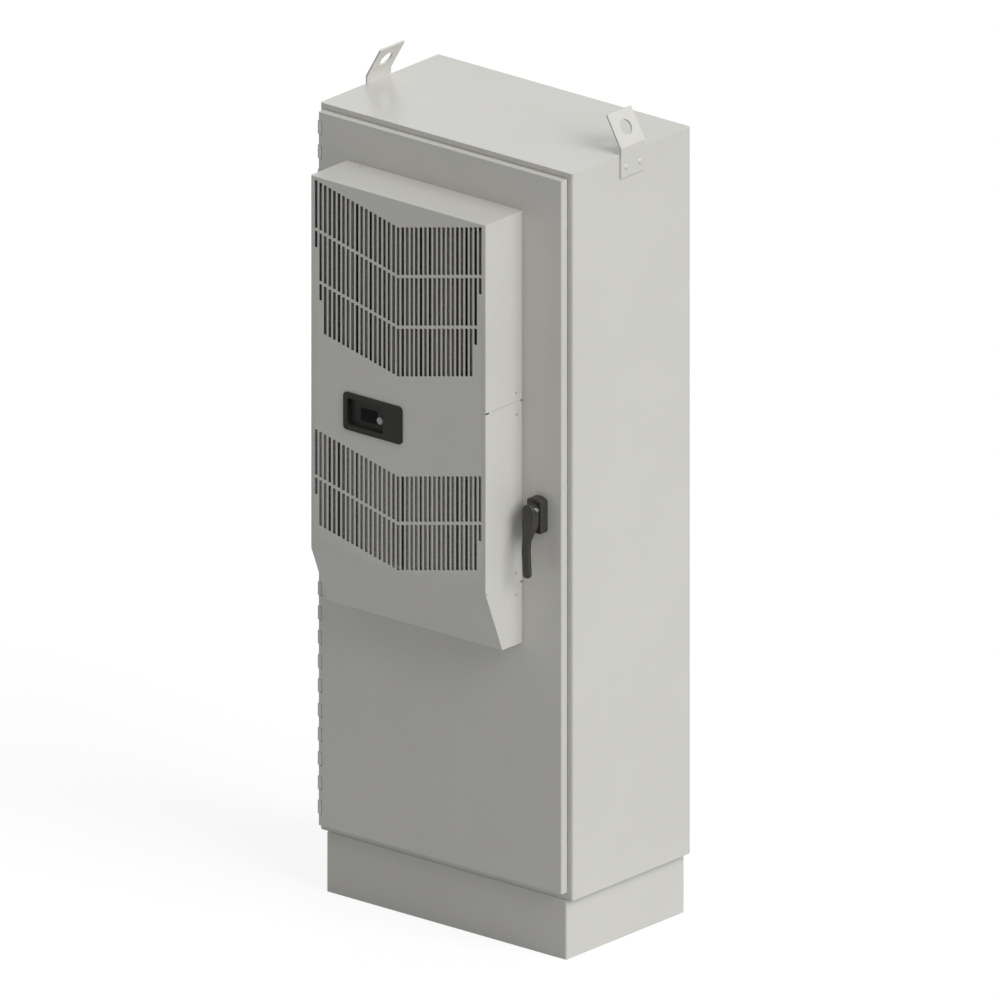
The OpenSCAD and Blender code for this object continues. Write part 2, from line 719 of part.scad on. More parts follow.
// Door
module door_panel() color(paint) difference() {
    translate([0, 0, door_z]) linear_extrude(door_h) polygon(concat(
        [[door_right, door_back_y], [door_left, door_back_y]],
        arc([door_left + door_bend_r, door_front_y + door_bend_r], door_bend_r, 180, 270, 5),
        arc([door_right - door_bend_r, door_front_y + door_bend_r], door_bend_r, 270, 360, 5)));
    slab(door_left + door_wall, door_right - door_wall, door_inner_y, door_back_y - door_wall,
        door_z + door_wall, door_top - door_wall);
    slab(door_left + door_lip, door_right - door_lip, door_inner_y, door_back_y + 1,
        door_z + door_lip, door_top - door_lip);
    slab(door_left - 1, notch_right, door_front_y - 1, notch_back, hinge_z - knuckle_gap,
        hinge_z + hinge_len + knuckle_gap);
    slab(ac_x - air_box_w / 2 - cut_clear, ac_x + air_box_w / 2 + cut_clear, door_front_y - 1,
        door_inner_y + 1,
        down(air_box_end) - cut_clear, down(air_box_d) + cut_clear);
    rod_y(handle_x, door_front_y - 1, door_inner_y + 1, handle_z, spindle_r + 2);
    for (z = base_screws) rod_y(handle_x, door_front_y - 1, door_inner_y + 1, z, base_screw_r + 0.3);
}

module door_gasket() color(rubber) {
    w = open_w + body_wall;
    h = open_h + body_wall;
    translate([0, 0, open_z + open_h / 2]) extrude_y(door_inner_y,
        front_y - lip_depth - gasket_gap) difference() {
        polygon(rounded(w + gasket_w, h + gasket_w, 4, 3));
        polygon(rounded(w - gasket_w, h - gasket_w, 4, 3));
    }
}

module door_stiffener() color(paint) {
    x = -open_w / 2 + gasket_w + 10;
    lip = 9;
    t = 1.5;
    depth = 14;
    translate([x, door_inner_y, open_z + stiffener_end])
        linear_extrude(open_h - 2 * stiffener_end) polygon([[0, 0], [lip, 0],
        [lip, depth - t], [stiffener_w - lip, depth - t], [stiffener_w - lip, 0], [stiffener_w, 0],
        [stiffener_w, t], [stiffener_w - lip + t, t], [stiffener_w - lip + t, depth], [lip - t, depth],
        [lip - t, t], [0, t]]);
}

// Handle
function base_outline(inset) = let(w = base_w / 2 - inset, top = base_above - inset,
    foot = base_above - base_h + inset, low = top - base_arch,
        r = (w * w + base_arch * base_arch) / (2 * base_arch),
    half = asin(w / r), c = 7) concat(
        arc([0, top - r], r, 90 - half, 90 + half, 10),
        arc([-w + c, foot + c], c, 180, 270, 5), arc([w - c, foot + c], c, 270, 360, 5));

module handle_base() color(black) difference() {
    translate([handle_x, 0, handle_z]) hull() {
        extrude_y(base_front_y + 2, door_front_y) polygon(base_outline(0));
        extrude_y(base_front_y, base_front_y + 1) polygon(base_outline(2));
    }
    rod_y(handle_x, base_front_y - 1, door_front_y + 1, handle_z, spindle_r + run_clear);
    for (z = base_screws)
        rod_y(handle_x, door_front_y - base_screw_deep, door_front_y + 1, z, base_screw_r + 0.1);
}

module handle_screws() color(zinc) for (z = base_screws) {
    rod_y(handle_x, door_front_y - base_screw_deep + 1, door_inner_y + 1, z, base_screw_r);
    rod_y(handle_x, door_inner_y, door_inner_y + 3, z, base_screw_r + 2);
}

function lever_half(d) = d < lever_r ? sqrt(max(9, lever_r * lever_r - pow(lever_r - d, 2)))
    : (lever_r + (grip_w / 2 - lever_r) * ease(boss_end, grip_start, d))
        * sqrt(max(0.5, 1 - pow(max(0, d - lever_len + tip_round) / tip_round, 2)));
function lever_front(d) = lever_t + grip_swell * ease(boss_end - 10, swell_at, d)
    - grip_return * ease(swell_at, lever_len, d);
function lever_thick(d) = lever_t + (grip_t - lever_t) * ease(boss_end, grip_start, d);
function lever_ring(d) = let(hw = lever_half(d), ht = lever_thick(d) / 2, mid = lever_front(d) - ht,
    k = 0.28 + 0.2 * ease(boss_end, grip_start, d))
    [for (i = [0:23]) [hw * bow(cos(i * 15), k), -mid + ht * bow(sin(i * 15), k), lever_r - d]];
lever_stops = concat([for (i = [0:6]) lever_r * (1 - cos(i * 15))],
    [for (i = [1:20]) lever_r + i * (lever_len - tip_round - lever_r) / 20],
    [for (i = [1:4]) lever_len - tip_round + tip_round * sin(i * 22.5)]);

module handle_lever() color(black) difference() {
    translate([handle_x, lever_back_y, handle_z]) loft([for (d = lever_stops) lever_ring(d)]);
    rod_x(handle_x + lever_r - lock_deep, handle_x + lever_r + 2, lever_back_y - lever_t / 2,
        handle_z + lock_rise,
        lock_r + run_clear);
}

module lock_cylinder() color(zinc) difference() {
    rod_x(handle_x + lever_r - lock_deep, handle_x + lever_r + lock_out, lever_back_y - lever_t / 2,
        handle_z + lock_rise, lock_r);
    slab(handle_x + lever_r + lock_out - 3, handle_x + lever_r + lock_out + 1,
        lever_back_y - lever_t / 2 - 0.6,
        lever_back_y - lever_t / 2 + 0.6, handle_z + lock_rise - 3, handle_z + lock_rise + 3);
}

module handle_spindle() color(zinc) {
    rod_y(handle_x, lever_back_y, cam_front_y, handle_z, spindle_r);
    slab(handle_x - square_half, handle_x + square_half, cam_front_y - 1, cam_back_y,
        handle_z - square_half, handle_z + square_half);
}

module spindle_bush() color(nylon) difference() {
    union() {
        rod_y(handle_x, door_inner_y, door_inner_y + 4, handle_z, spindle_r + 5.5);
        rod_y(handle_x, door_inner_y, door_inner_y + bush_len, handle_z, spindle_r + 3.5);
    }
    rod_y(handle_x, door_inner_y - 1, door_inner_y + bush_len + 1, handle_z, spindle_r + run_clear);
}

// Three-point latch
module latch_cam() color(zinc) {
    translate([handle_x, 0, handle_z]) {
        extrude_y(cam_front_y, cam_back_y) difference() {
            rotate(-45) union() {
                translate([-cam_r, -10]) square([2 * cam_r, 20]);
                translate([-cam_r, 0]) circle(10);
                translate([cam_r, 0]) circle(10);
            }
            square(2 * square_half + 0.1, center = true);
        }
        for (side = [-1, 1]) rod_y(side * pin_rest, cam_back_y - 1, rod_front_y + rod_t + 1.5,
            -side * pin_rest, drive_pin_r);
    }
}

module cam_screw() color(zinc) rod_y(handle_x, cam_back_y, cam_back_y + 3, handle_z, square_half + 1.2);

// A latch rod along +Z from its yoke, which stands at the origin
module latch_rod(length) {
    extrude_y(rod_front_y, rod_front_y + rod_t) difference() {
        union() {
            translate([-yoke_half_w, -yoke_half_h]) square([2 * yoke_half_w, 2 * yoke_half_h]);
            translate([-rod_w / 2, 0]) square([rod_w, length - roller_r - 3]);
        }
        translate([-slot_half, -drive_pin_r - yoke_slack]) square([2 * slot_half,
            2 * (drive_pin_r + yoke_slack)]);
        for (side = [-1, 1]) translate([side * slot_half, 0]) circle(drive_pin_r + yoke_slack);
    }
    difference() {
        for (side = [0, 1]) mirror([side, 0, 0]) slab(roller_w / 2 + ear_gap,
            roller_w / 2 + ear_gap + ear_t,
            roller_y - roller_r + 2, roller_y + roller_r - 2, length - roller_r - 18,
                length + roller_pin_r + 3);
        rod_x(-rod_w, rod_w, roller_y, length, roller_pin_r + run_clear);
    }
}

module latch_rod_upper() color(zinc) translate([upper_x, 0, handle_z + pin_rest])
    latch_rod(upper_roller_z - handle_z - pin_rest);

module latch_rod_lower() color(zinc) translate([lower_x, 0, handle_z - pin_rest]) mirror([0, 0, 1])
    latch_rod(handle_z - pin_rest - lower_roller_z);

module roller_pin(x, z) {
    half = roller_w / 2 + ear_gap + ear_t;
    rod_x(x - half - 1, x + half, roller_y, z, roller_pin_r);
    rod_x(x - half - 2.5, x - half, roller_y, z, roller_pin_r + 1.5);
}

module roller_pin_upper() color(zinc) roller_pin(upper_x, upper_roller_z);

module roller_pin_lower() color(zinc) roller_pin(lower_x, lower_roller_z);

module roller(x, z) difference() {
    rod_x(x - roller_w / 2, x + roller_w / 2, roller_y, z, roller_r);
    rod_x(x - roller_w, x + roller_w, roller_y, z, roller_pin_r + run_clear);
}

module rod_roller_upper() color(nylon) roller(upper_x, upper_roller_z);

module rod_roller_lower() color(nylon) roller(lower_x, lower_roller_z);

module rod_guide(x, z) difference() {
    union() {
        slab(x - guide_half, x + guide_half, door_inner_y, rod_front_y + rod_t + 6, z, z + 4);
        slab(x - guide_half, x + guide_half, door_inner_y, door_inner_y + 3, z, z + 34);
    }
    slab(x - rod_w / 2 - guide_clear, x + rod_w / 2 + guide_clear, rod_front_y - guide_clear,
        rod_front_y + rod_t + guide_clear, z - 1, z + 5);
}

module rod_guide_upper() color(zinc) rod_guide(upper_x, open_top - guide_end);

module rod_guide_lower() color(zinc) rod_guide(lower_x, open_z + guide_end);

// Air conditioner: cover, chassis and seal
function cover_side(inset) = let(r = ac_bend_r - inset, o = ac_depth - inset, s = slant_back / slant_h,
    turn = atan(s), k = inset * tan(turn / 2)) concat(
        [[out(-1), down(ac_h - inset)], [out(-1), down(inset)]],
        arc([out(o - r), down(inset + r)], r, 90, 180, 5),
        [[out(o), down(slant_d - k)], [out(o - slant_back + s * inset), down(ac_h - inset)]]);
function cover_plan(inset) = let(r = ac_bend_r - inset, w = ac_w / 2 - inset,
    y = out(ac_depth - inset)) concat(
    [[w, out(-1)], [-w, out(-1)]], arc([-w + r, y + r], r, 180, 270, 5), arc([w - r, y + r], r, 270, 360,
        5));

module cover_solid(inset) intersection() {
    extrude_x(-ac_w / 2 + inset, ac_w / 2 - inset) polygon(cover_side(inset));
    translate([0, 0, down(ac_h + 10)]) linear_extrude(ac_h + 20) polygon(cover_plan(inset));
}

// Slots of one column and row, as [left, foot, length]
function slot_list(drop, rows, length, bar) = [for (i = [-slot_half_n:slot_half_n], k = [0:rows - 1])
    let(edge = slot_half_n - abs(i), top = drop + k * (length + bar) - abs(i) * slot_pitch * fall,
        run = k <= edge ? length : k == edge + 1 ? short_slot : 0)
    if (run > 0) [i * slot_pitch - slot_w / 2, down(top + run), run]];

module ac_cover() color(paint) translate([ac_x, 0, 0]) difference() {
    cover_solid(0);
    cover_solid(ac_wall);
    slab(-ac_w, ac_w, out(0.5), out(-20), down(ac_h + 20), down(-20));
    extrude_y(out(ac_depth + 1), out(skin_o - 1))
        for (s = concat(slot_list(upper_drop, 3, upper_slot, upper_bar), slot_list(lower_drop, 2,
            lower_slot, lower_bar)))
            translate([s[0], s[1]]) square([slot_w, s[2]]);
    slab(recess_x - recess_w / 2 - bezel_wall - 1, recess_x + recess_w / 2 + bezel_wall + 1,
        out(ac_depth + 1),
        out(skin_o - 1), down(bezel_d + recess_h / 2 + bezel_wall + 1),
            down(bezel_d - recess_h / 2 - bezel_wall - 1));
    for (side = [0, 1]) mirror([side, 0, 0]) {
        x0 = ac_w / 2 - ac_wall - 0.2;
        slab(x0, ac_w, out(ac_depth - 8), out(0), down(seam_d + seam_h), down(seam_d));
        slab(x0, ac_w, out(ac_depth + 1), out(ac_depth - 12), down(seam_d + 3.5), down(seam_d - 0.5));
        slab(x0, ac_w, out(7), out(0), down(seam_d + 3.5), down(seam_d - 0.5));
        slab(x0, ac_w, out(ac_depth + 1), out(ac_depth - 7), down(slant_d + 1), down(slant_d - 1));
        slab(x0, ac_w, out(7), out(0), down(slant_d + 3), down(slant_d - 1));
        for (d = seam_screws) rod_x(x0 - 1, ac_w, out(side_screw_o), down(d), screw_r + 0.2);
    }
    for (x = [-1, 1]) rod_z(x * end_screw_x, out(end_screw_o), down(ac_h + 1), down(-1), screw_r + 0.2);
}

module ac_chassis() color(zinc) difference() {
    h = ac_h - ac_wall - cover_clear;
    ac_box(-chassis_half, chassis_half, ac_seal, ac_seal + chassis_flange, ac_wall + cover_clear, h);
    ac_box(-chassis_half + chassis_wall, chassis_half - chassis_wall, plate_o, ac_depth,
        ac_wall + cover_clear + chassis_wall, h - chassis_wall);
    for (d = seam_screws) rod_x(ac_x - ac_w, ac_x + ac_w, out(side_screw_o), down(d), screw_r + 0.1);
    for (x = [-1, 1]) rod_z(ac_x + x * end_screw_x, out(end_screw_o), down(ac_h + 1), down(-1),
        screw_r + 0.1);
    ac_rod(suction_x, 0, plate_o + 1, suction_d, pipe_r + 1);
}

module ac_screws() color(zinc) {
    for (side = [-1, 1], d = seam_screws) translate([ac_x, 0, 0]) mirror([side < 0 ? 1 : 0, 0, 0]) {
        rod_x(chassis_half - chassis_wall - 3, ac_w / 2 + 1, out(side_screw_o), down(d), screw_r);
        rod_x(ac_w / 2, ac_w / 2 + screw_head, out(side_screw_o), down(d), screw_head_r);
    }
    for (x = [-1, 1]) {
        rod_z(ac_x + x * end_screw_x, out(end_screw_o), down(8), down(-1), screw_r);
        rod_z(ac_x + x * end_screw_x, out(end_screw_o), down(0), down(-screw_head), screw_head_r);
        rod_z(ac_x + x * end_screw_x, out(end_screw_o), down(ac_h + 1), down(ac_h - 8), screw_r);
        rod_z(ac_x + x * end_screw_x, out(end_screw_o), down(ac_h + screw_head), down(ac_h), screw_head_r);
    }
}

module ac_gasket() color(rubber) difference() {
    ac_box(-chassis_half + 4, chassis_half - 4, 0, ac_seal, 8, ac_h - 8);
    ac_box(-air_box_w / 2 - cut_clear, air_box_w / 2 + cut_clear, -1, ac_seal + 1,
        air_box_d - cut_clear, air_box_end + cut_clear);
}

// Condenser side
fin_half = coil_w / 2 - coil_plate;
fin_count = floor(2 * fin_half / fin_pitch);
fin_first = -(fin_count - 1) * fin_pitch / 2;
fin_deep = 12;

module condenser_coil() color(alloy) translate([ac_x, 0, 0]) {
    translate([0, 0, down(coil_end)]) linear_extrude(coil_end - coil_d) polygon(concat(
        [[fin_half, out(coil_back)], [-fin_half, out(coil_back)], [-fin_half, out(coil_front - fin_deep)]],
        [for (i = [0:fin_count - 1]) let(x = fin_first + i * fin_pitch) each [
            [x - fin_t / 2, out(coil_front - fin_deep)], [x - fin_t / 2, out(coil_front)],
            [x + fin_t / 2, out(coil_front)], [x + fin_t / 2, out(coil_front - fin_deep)]]],
        [[fin_half, out(coil_front - fin_deep)]]));
    for (side = [0, 1]) mirror([side, 0, 0]) {
        slab(fin_half, coil_w / 2, out(coil_front), out(plate_o), down(coil_end), down(coil_d));
        for (k = [0:tube_rows - 1])
            translate([coil_w / 2, out((coil_front + coil_back) / 2), down(coil_d + 32 + k * tube_pitch)])
                rotate([90, 0, 0]) rotate([0, 0, -90]) rotate_extrude(angle = 180) translate([tube_bend,
                    0]) circle(tube_r);
    }
}

module fan_shroud() color(black) difference() {
    union() {
        ac_box(-fin_half + shroud_gap, fin_half - shroud_gap, shroud_front - shroud_t, shroud_front, coil_d,
            coil_end);
        ac_rod(0, shroud_front - shroud_depth, shroud_front, fan_d, fan_r + fan_tip_gap + 2);
    }
    ac_rod(0, shroud_front - shroud_depth - 1, shroud_front + 1, fan_d, fan_r + fan_tip_gap);
}

module condenser_motor() color(black) {
    ac_rod(0, plate_o, plate_o + 4, fan_d, motor_r + 10);
    ac_rod(0, plate_o, motor_front, fan_d, motor_r);
    ac_rod(0, motor_front - 1, shaft_end, fan_d, shaft_r);
}

function blade_ring(r) = let(t = (r - hub_r) / (fan_r - hub_r), chord = 64 + 40 * t, pitch = 30 - 13 * t)
    [for (j = [0:9]) let(q = j < 5 ? j / 2 - 1 : (9 - j) / 2 - 1, s = chord / 2 * q,
        h = 0.09 * chord * (1 - q * q) + (j < 5 ? 0.9 : -0.9),
            a = (s * cos(pitch) - h * sin(pitch)) / r * 180 / PI)
        [r * cos(a), r * sin(a), s * sin(pitch) + h * cos(pitch)]];

module condenser_fan() color(black) translate([ac_x, out((fan_back + fan_front) / 2), down(fan_d)])
    rotate([90, 0, 0])
    difference() {
        union() {
            translate([0, 0, -(fan_front - fan_back) / 2]) cylinder(h = fan_front - fan_back, r = hub_r);
            for (i = [0:fan_blades - 1]) rotate(i * 360 / fan_blades)
                loft([for (k = [0:4]) blade_ring(hub_r - 3 + k * (fan_r - hub_r + 3) / 4)]);
        }
        translate([0, 0, -fan_front]) cylinder(h = fan_front + (fan_front - fan_back) / 2 - 8,
            r = shaft_r + run_clear);
    }

module compressor() color(black) translate([ac_x + compressor_x, out(compressor_o),
    down(compressor_foot)]) {
    r = compressor_r;
    h = compressor_h;
    translate([0, 0, foot_t]) rotate_extrude() polygon(concat([[0, 0]], arc([r - 12, 12], 12, 270, 360, 5),
        [[r, h * 0.55], [r + 1.5, h * 0.55], [r + 1.5, h * 0.6], [r, h * 0.6]],
        arc([r - 26, h - 30], 26, 0, 90, 7), [[14, h - 4], [14, h], [0, h]]));
    linear_extrude(foot_t) union() {
        circle(r - 6);
        for (a = foot_angles) rotate(a) {
            translate([0, -11]) square([r + 2, 22]);
            translate([r + 2, 0]) circle(11);
        }
    }
}

module compressor_feet() color(rubber) for (a = foot_angles)
    rod_z(ac_x + compressor_x + (compressor_r + 2) * cos(a),
        out(compressor_o) + (compressor_r + 2) * sin(a),
        down(shelf_d), down(compressor_foot), 9);

module compressor_shelf() color(zinc) {
    left = compressor_x - shelf_half;
    right = compressor_x + shelf_half;
    ac_box(left, right, plate_o, compressor_o + compressor_r + 2, shelf_d, shelf_d + shelf_t);
    ac_box(left, right, plate_o, plate_o + shelf_t, shelf_d, shelf_d + shelf_drop);
    for (x = [left, right - shelf_t]) extrude_x(ac_x + x, ac_x + x + shelf_t) polygon([[out(plate_o),
        down(shelf_d)],
        [out(compressor_o), down(shelf_d)], [out(plate_o), down(shelf_d + shelf_drop)]]);
}

module discharge_pipe() color(copper) pipe([[ac_x + compressor_x, out(compressor_o), down(compressor_top)],
    [ac_x + compressor_x, out(compressor_o), down(coil_end + discharge_rise)],
    [ac_x + compressor_x, out(pipe_end_o), down(coil_end + discharge_rise)],
    [ac_x + compressor_x, out(pipe_end_o), down(coil_end)]], pipe_r, pipe_bend);

module suction_pipe() color(copper) pipe([[ac_x + compressor_x + compressor_r, out(compressor_o),
    down(compressor_foot - suction_rise)],
    [ac_x + suction_x, out(compressor_o), down(compressor_foot - suction_rise)],
    [ac_x + suction_x, out(compressor_o), down(suction_d)],
    [ac_x + suction_x, out(evap_front), down(suction_d)]], pipe_r, pipe_bend);

module air_filter() color(alloy) {
    half = slot_half_n * slot_pitch + slot_w;
    rail = 8;
    difference() {
        ac_box(-half, half, filter_front - filter_t, filter_front, filter_d, filter_end);
        ac_box(-half + rail, half - rail, filter_front - 2, filter_front + 1, filter_d + rail,
            filter_end - rail);
    }
}

module control_box() color(zinc) difference() {
    union() {
        ac_box(box_left, box_left + box_w, plate_o, plate_o + box_deep, box_d, box_d + box_tall);
        ac_box(box_left - 4, box_left + box_w + 4, plate_o + box_deep, plate_o + box_deep + 3, box_d - 4,
            box_d + box_tall + 4);
    }
    ac_box(box_left + 1.5, box_left + box_w - 1.5, plate_o + 1.5, plate_o + box_deep, box_d + 1.5,
        box_d + box_tall - 1.5);
    rod_z(ac_x + box_left + box_w / 2, out(plate_o + box_deep / 2), down(box_d + box_tall + 1),
        down(box_d + box_tall - 3), 11);
}

// Controller on the cover
module controller_bezel() color(black) translate([ac_x, 0, down(bezel_d)]) difference() {
    union() {
        translate([bezel_x, 0, 0]) extrude_y(out(bezel_front), out(ac_depth)) polygon(rounded(bezel_w,
            bezel_h, bezel_corner, 6));
        slab(recess_x - recess_w / 2 - bezel_wall, recess_x + recess_w / 2 + bezel_wall, out(ac_depth + 1),
            out(bezel_back),
            -recess_h / 2 - bezel_wall, recess_h / 2 + bezel_wall);
    }
    translate([recess_x, 0, 0]) extrude_y(out(bezel_front + 1), out(recess_o)) polygon(rounded(recess_w,
        recess_h, 5, 4));
    rod_y(button_x, out(recess_o + 1), out(bezel_back - 1), bezel_d - button_d, button_r + 0.3);
    rod_y(bezel_x - bezel_w / 2 + 9, out(bezel_front + 1), out(bezel_front - 1.5), -bezel_h / 2 + 9, 2.5);
}

module display_window() color(black) translate([ac_x + display_x, 0, down(display_d)])
    extrude_y(out(recess_o + display_t), out(recess_o)) polygon(rounded(display_w, display_h, 3, 4));

module controller_button() color(nylon) {
    ac_rod(button_x, bezel_back + button_travel, recess_o + button_out, button_d, button_r);
}

// Indoor side
module air_box() color(zinc) difference() {
    ac_box(-air_box_w / 2, air_box_w / 2, air_box_o, ac_seal, air_box_d, air_box_end);
    ac_box(-air_box_w / 2 + air_box_wall, air_box_w / 2 - air_box_wall, box_skin, ac_seal + 1,
        air_box_d + air_box_wall, air_box_end - air_box_wall);
    ac_rod(0, air_box_o - 1, box_skin + 1, blower_d, inlet_r);
    ac_box(-supply_w / 2, supply_w / 2, air_box_o - 1, box_skin + 1, supply_d, supply_d + supply_h);
}

module blower_motor() color(black) {
    ac_rod(0, ac_seal - 4, ac_seal, blower_d, 52);
    ac_rod(0, blower_motor_end, ac_seal, blower_d, 42);
    ac_rod(0, impeller_back - 22, blower_motor_end + 1, blower_d, shaft_r);
}

function polar(r, a) = [r * cos(a), r * sin(a)];

module evaporator_impeller() color(black) translate([ac_x, out(impeller_back), down(blower_d)]) rotate([-90,
    0, 0])
    difference() {
        depth = impeller_back - impeller_front;
        union() {
            cylinder(h = 3, r = impeller_r);
            cylinder(h = 26, r = 16);
            for (i = [0:impeller_blades - 1]) rotate(i * 360 / impeller_blades)
                linear_extrude(depth - 1) polygon(concat(
                [for (k = [0:6]) let(r = 56 + k * (impeller_r - 57) / 6) polar(r, -7 * k + 60 / r)],
                [for (k = [6:-1:0]) let(r = 56 + k * (impeller_r - 57) / 6) polar(r, -7 * k - 60 / r)]));
            translate([0, 0, depth - 2]) difference() {
                cylinder(h = 2, r = impeller_r);
                translate([0, 0, -1]) cylinder(h = 4, r = 60);
            }
        }
        translate([0, 0, -1]) cylinder(h = 24, r = shaft_r + run_clear);
    }

module evaporator_coil() color(alloy) translate([ac_x, 0, 0]) {
    slab(-evap_half, evap_half, out(evap_front), out(evap_back), down(evap_end), down(evap_d));
    for (side = [0, 1]) mirror([side, 0, 0])
        slab(evap_half, evap_half + coil_plate, out(ac_seal), out(evap_back), down(evap_end + 12),
            down(evap_d - 12));
}

module condensate_tray() color(black) difference() {
    ac_box(-evap_half, evap_half, box_skin + 6, -6, tray_d - tray_h, tray_d);
    ac_box(-evap_half + 3, evap_half - 3, box_skin + 9, -9, tray_d - tray_h - 1, tray_d - 3);
}

module return_guard() color(zinc) translate([ac_x, out(air_box_o), down(blower_d)]) rotate([-90, 0, 0]) {
    for (r = guard_rings) translate([0, 0, guard_out]) rotate_extrude() translate([r, 0]) circle(guard_wire,
        $fn = 12);
    for (a = [0, 90, 180, 270]) rotate(a) {
        translate([12, 0, guard_out]) rotate([0, 90, 0]) cylinder(h = inlet_r, r = guard_wire);
        translate([inlet_r + 10, 0, 0]) cylinder(h = guard_out + 2, r = 5);
    }
}

module supply_grille() color(black) {
    rim = 16;
    w = supply_w / 2;
    difference() {
        ac_box(-w - rim, w + rim, air_box_o - 8, air_box_o, supply_d - rim, supply_d + supply_h + rim);
        ac_box(-w, w, air_box_o - 9, air_box_o + 1, supply_d, supply_d + supply_h);
    }
    for (k = [1:7]) translate([ac_x - w - 1, out(air_box_o - 4), down(supply_d + k * supply_h / 8)])
        rotate([35, 0, 0])
        translate([0, -5, -0.8]) cube([2 * w + 2, 10, 1.6]);
}

enclosure_body();
plinth();
plinth_bolts();
lifting_bracket_left();
lifting_bracket_right();
lifting_bolts();
mounting_panel();
panel_studs();
panel_nuts();
hinge_body_leaf();
hinge_pin();
door_panel();
door_gasket();
door_stiffener();
hinge_door_leaf();
handle_base();
handle_screws();
spindle_bush();
rod_guide_upper();
rod_guide_lower();
ac_gasket();
ac_chassis();
ac_cover();
ac_screws();
condenser_coil();
fan_shroud();
condenser_motor();
compressor();
compressor_shelf();
compressor_feet();
discharge_pipe();
suction_pipe();
air_filter();
control_box();
controller_bezel();
display_window();
air_box();
blower_motor();
evaporator_coil();
condensate_tray();
return_guard();
supply_grille();
handle_lever();
handle_spindle();
latch_cam();
cam_screw();
lock_cylinder();
latch_rod_upper();
roller_pin_upper();
rod_roller_upper();
latch_rod_lower();
roller_pin_lower();
rod_roller_lower();
condenser_fan();
evaporator_impeller();
controller_button();
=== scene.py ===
import bpy
import bmesh
import json
import math
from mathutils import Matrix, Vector


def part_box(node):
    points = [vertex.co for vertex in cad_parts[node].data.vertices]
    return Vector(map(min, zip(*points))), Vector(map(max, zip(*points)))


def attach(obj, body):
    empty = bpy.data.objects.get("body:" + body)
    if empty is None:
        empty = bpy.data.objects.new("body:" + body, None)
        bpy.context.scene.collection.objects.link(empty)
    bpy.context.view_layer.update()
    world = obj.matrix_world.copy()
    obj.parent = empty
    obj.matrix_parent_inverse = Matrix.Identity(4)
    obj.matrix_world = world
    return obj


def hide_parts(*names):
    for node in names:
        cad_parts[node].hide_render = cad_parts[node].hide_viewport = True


mm = 0.001

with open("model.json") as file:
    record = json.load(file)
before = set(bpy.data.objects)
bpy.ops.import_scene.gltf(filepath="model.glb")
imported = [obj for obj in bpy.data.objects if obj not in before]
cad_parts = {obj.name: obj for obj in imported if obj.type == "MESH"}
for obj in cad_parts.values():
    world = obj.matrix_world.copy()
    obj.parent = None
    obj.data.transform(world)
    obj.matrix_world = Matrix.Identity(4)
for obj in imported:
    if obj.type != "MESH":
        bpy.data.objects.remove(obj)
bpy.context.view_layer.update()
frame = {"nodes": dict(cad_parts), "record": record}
record = frame["record"]
bodyOf = {node: body for body, members in record["behaviour"]["bodies"].items() for node in members}
scene = bpy.context.scene
scene.view_settings.view_transform = "Standard"
print("frame loaded:", len(frame["nodes"]), "nodes")


# sRGB hex to a linear colour
def linear(hexCode):
    channels = [int(hexCode[i:i + 2], 16) / 255 for i in (0, 2, 4)]
    return [c / 12.92 if c <= 0.04045 else ((c + 0.055) / 1.055) ** 2.4 for c in channels] + [1.0]


def addNode(tree, kind, settings=None, links=None):
    node = tree.nodes.new(kind)
    for name, value in (settings or {}).items():
        if isinstance(name, str) and hasattr(node, name):
            setattr(node, name, value)
        else:
            node.inputs[name].default_value = value
    for name, (other, output) in (links or {}).items():
        tree.links.new(other.outputs[output], node.inputs[name])
    return node


# Finishes

def startFinish(name):
    finish = bpy.data.materials.new(name)
    finish.use_nodes = True
    tree = finish.node_tree
    tree.nodes.clear()
    return finish, tree


# How every coat drifts: detail of its clouds and grain, and where in the clouds the two tints stand
coatNoise = {"driftDetail": 3.0, "grainDetail": 2.0, "tintAt": {"shade": 0.35, "light": 0.65}}


# A coat or a moulded skin: colour and roughness drift together, under a fine relief
def coatFinish(name, coat):
    finish, tree = startFinish(name)
    coords = addNode(tree, "ShaderNodeTexCoord")
    drift = addNode(tree, "ShaderNodeTexNoise",
                    {"Scale": 1 / (coat["driftMm"] * mm), "Detail": coatNoise["driftDetail"]},
                    {"Vector": (coords, "Object")})
    tint = addNode(tree, "ShaderNodeValToRGB", links={"Fac": (drift, 0)})
    for stop, (part, position) in zip(tint.color_ramp.elements, coatNoise["tintAt"].items()):
        stop.position = position
        stop.color = linear(coat[part])
    rough = addNode(tree, "ShaderNodeMapRange", {"To Min": coat["rough"][0], "To Max": coat["rough"][1]},
                    {"Value": (drift, 0)})
    grain = addNode(tree, "ShaderNodeTexNoise",
                    {"Scale": 1 / (coat["grainMm"] * mm), "Detail": coatNoise["grainDetail"]},
                    {"Vector": (coords, "Object")})
    relief = addNode(tree, "ShaderNodeBump",
                     {"Strength": coat["relief"], "Distance": coat["depthMm"] * mm}, {"Height": (grain, 0)})
    colour = (tint, 0)
    # painted shade: the slots' punched walls are mixed towards a dark tint
    if "paintedWallShade" in coat:  # walls that the mesh marks as punched; 6 and 7 are the mix's two colours, 2 its result
        marked = addNode(tree, "ShaderNodeAttribute", {"attribute_name": "punched"})
        mixed = addNode(tree, "ShaderNodeMix", {"data_type": "RGBA", 7: linear(coat["paintedWallShade"])},
                        {0: (marked, "Fac"), 6: (tint, 0)})
        colour = (mixed, 2)
    shader = addNode(tree, "ShaderNodeBsdfPrincipled",
                     {"Metallic": coat.get("metal", 0.0), "IOR": coat.get("ior", 1.5),
                      "Specular IOR Level": coat.get("specular", 0.5)},
                     {"Base Color": colour, "Roughness": (rough, 0), "Normal": (relief, 0)})
    addNode(tree, "ShaderNodeOutputMaterial", links={"Surface": (shader, 0)})
    return finish


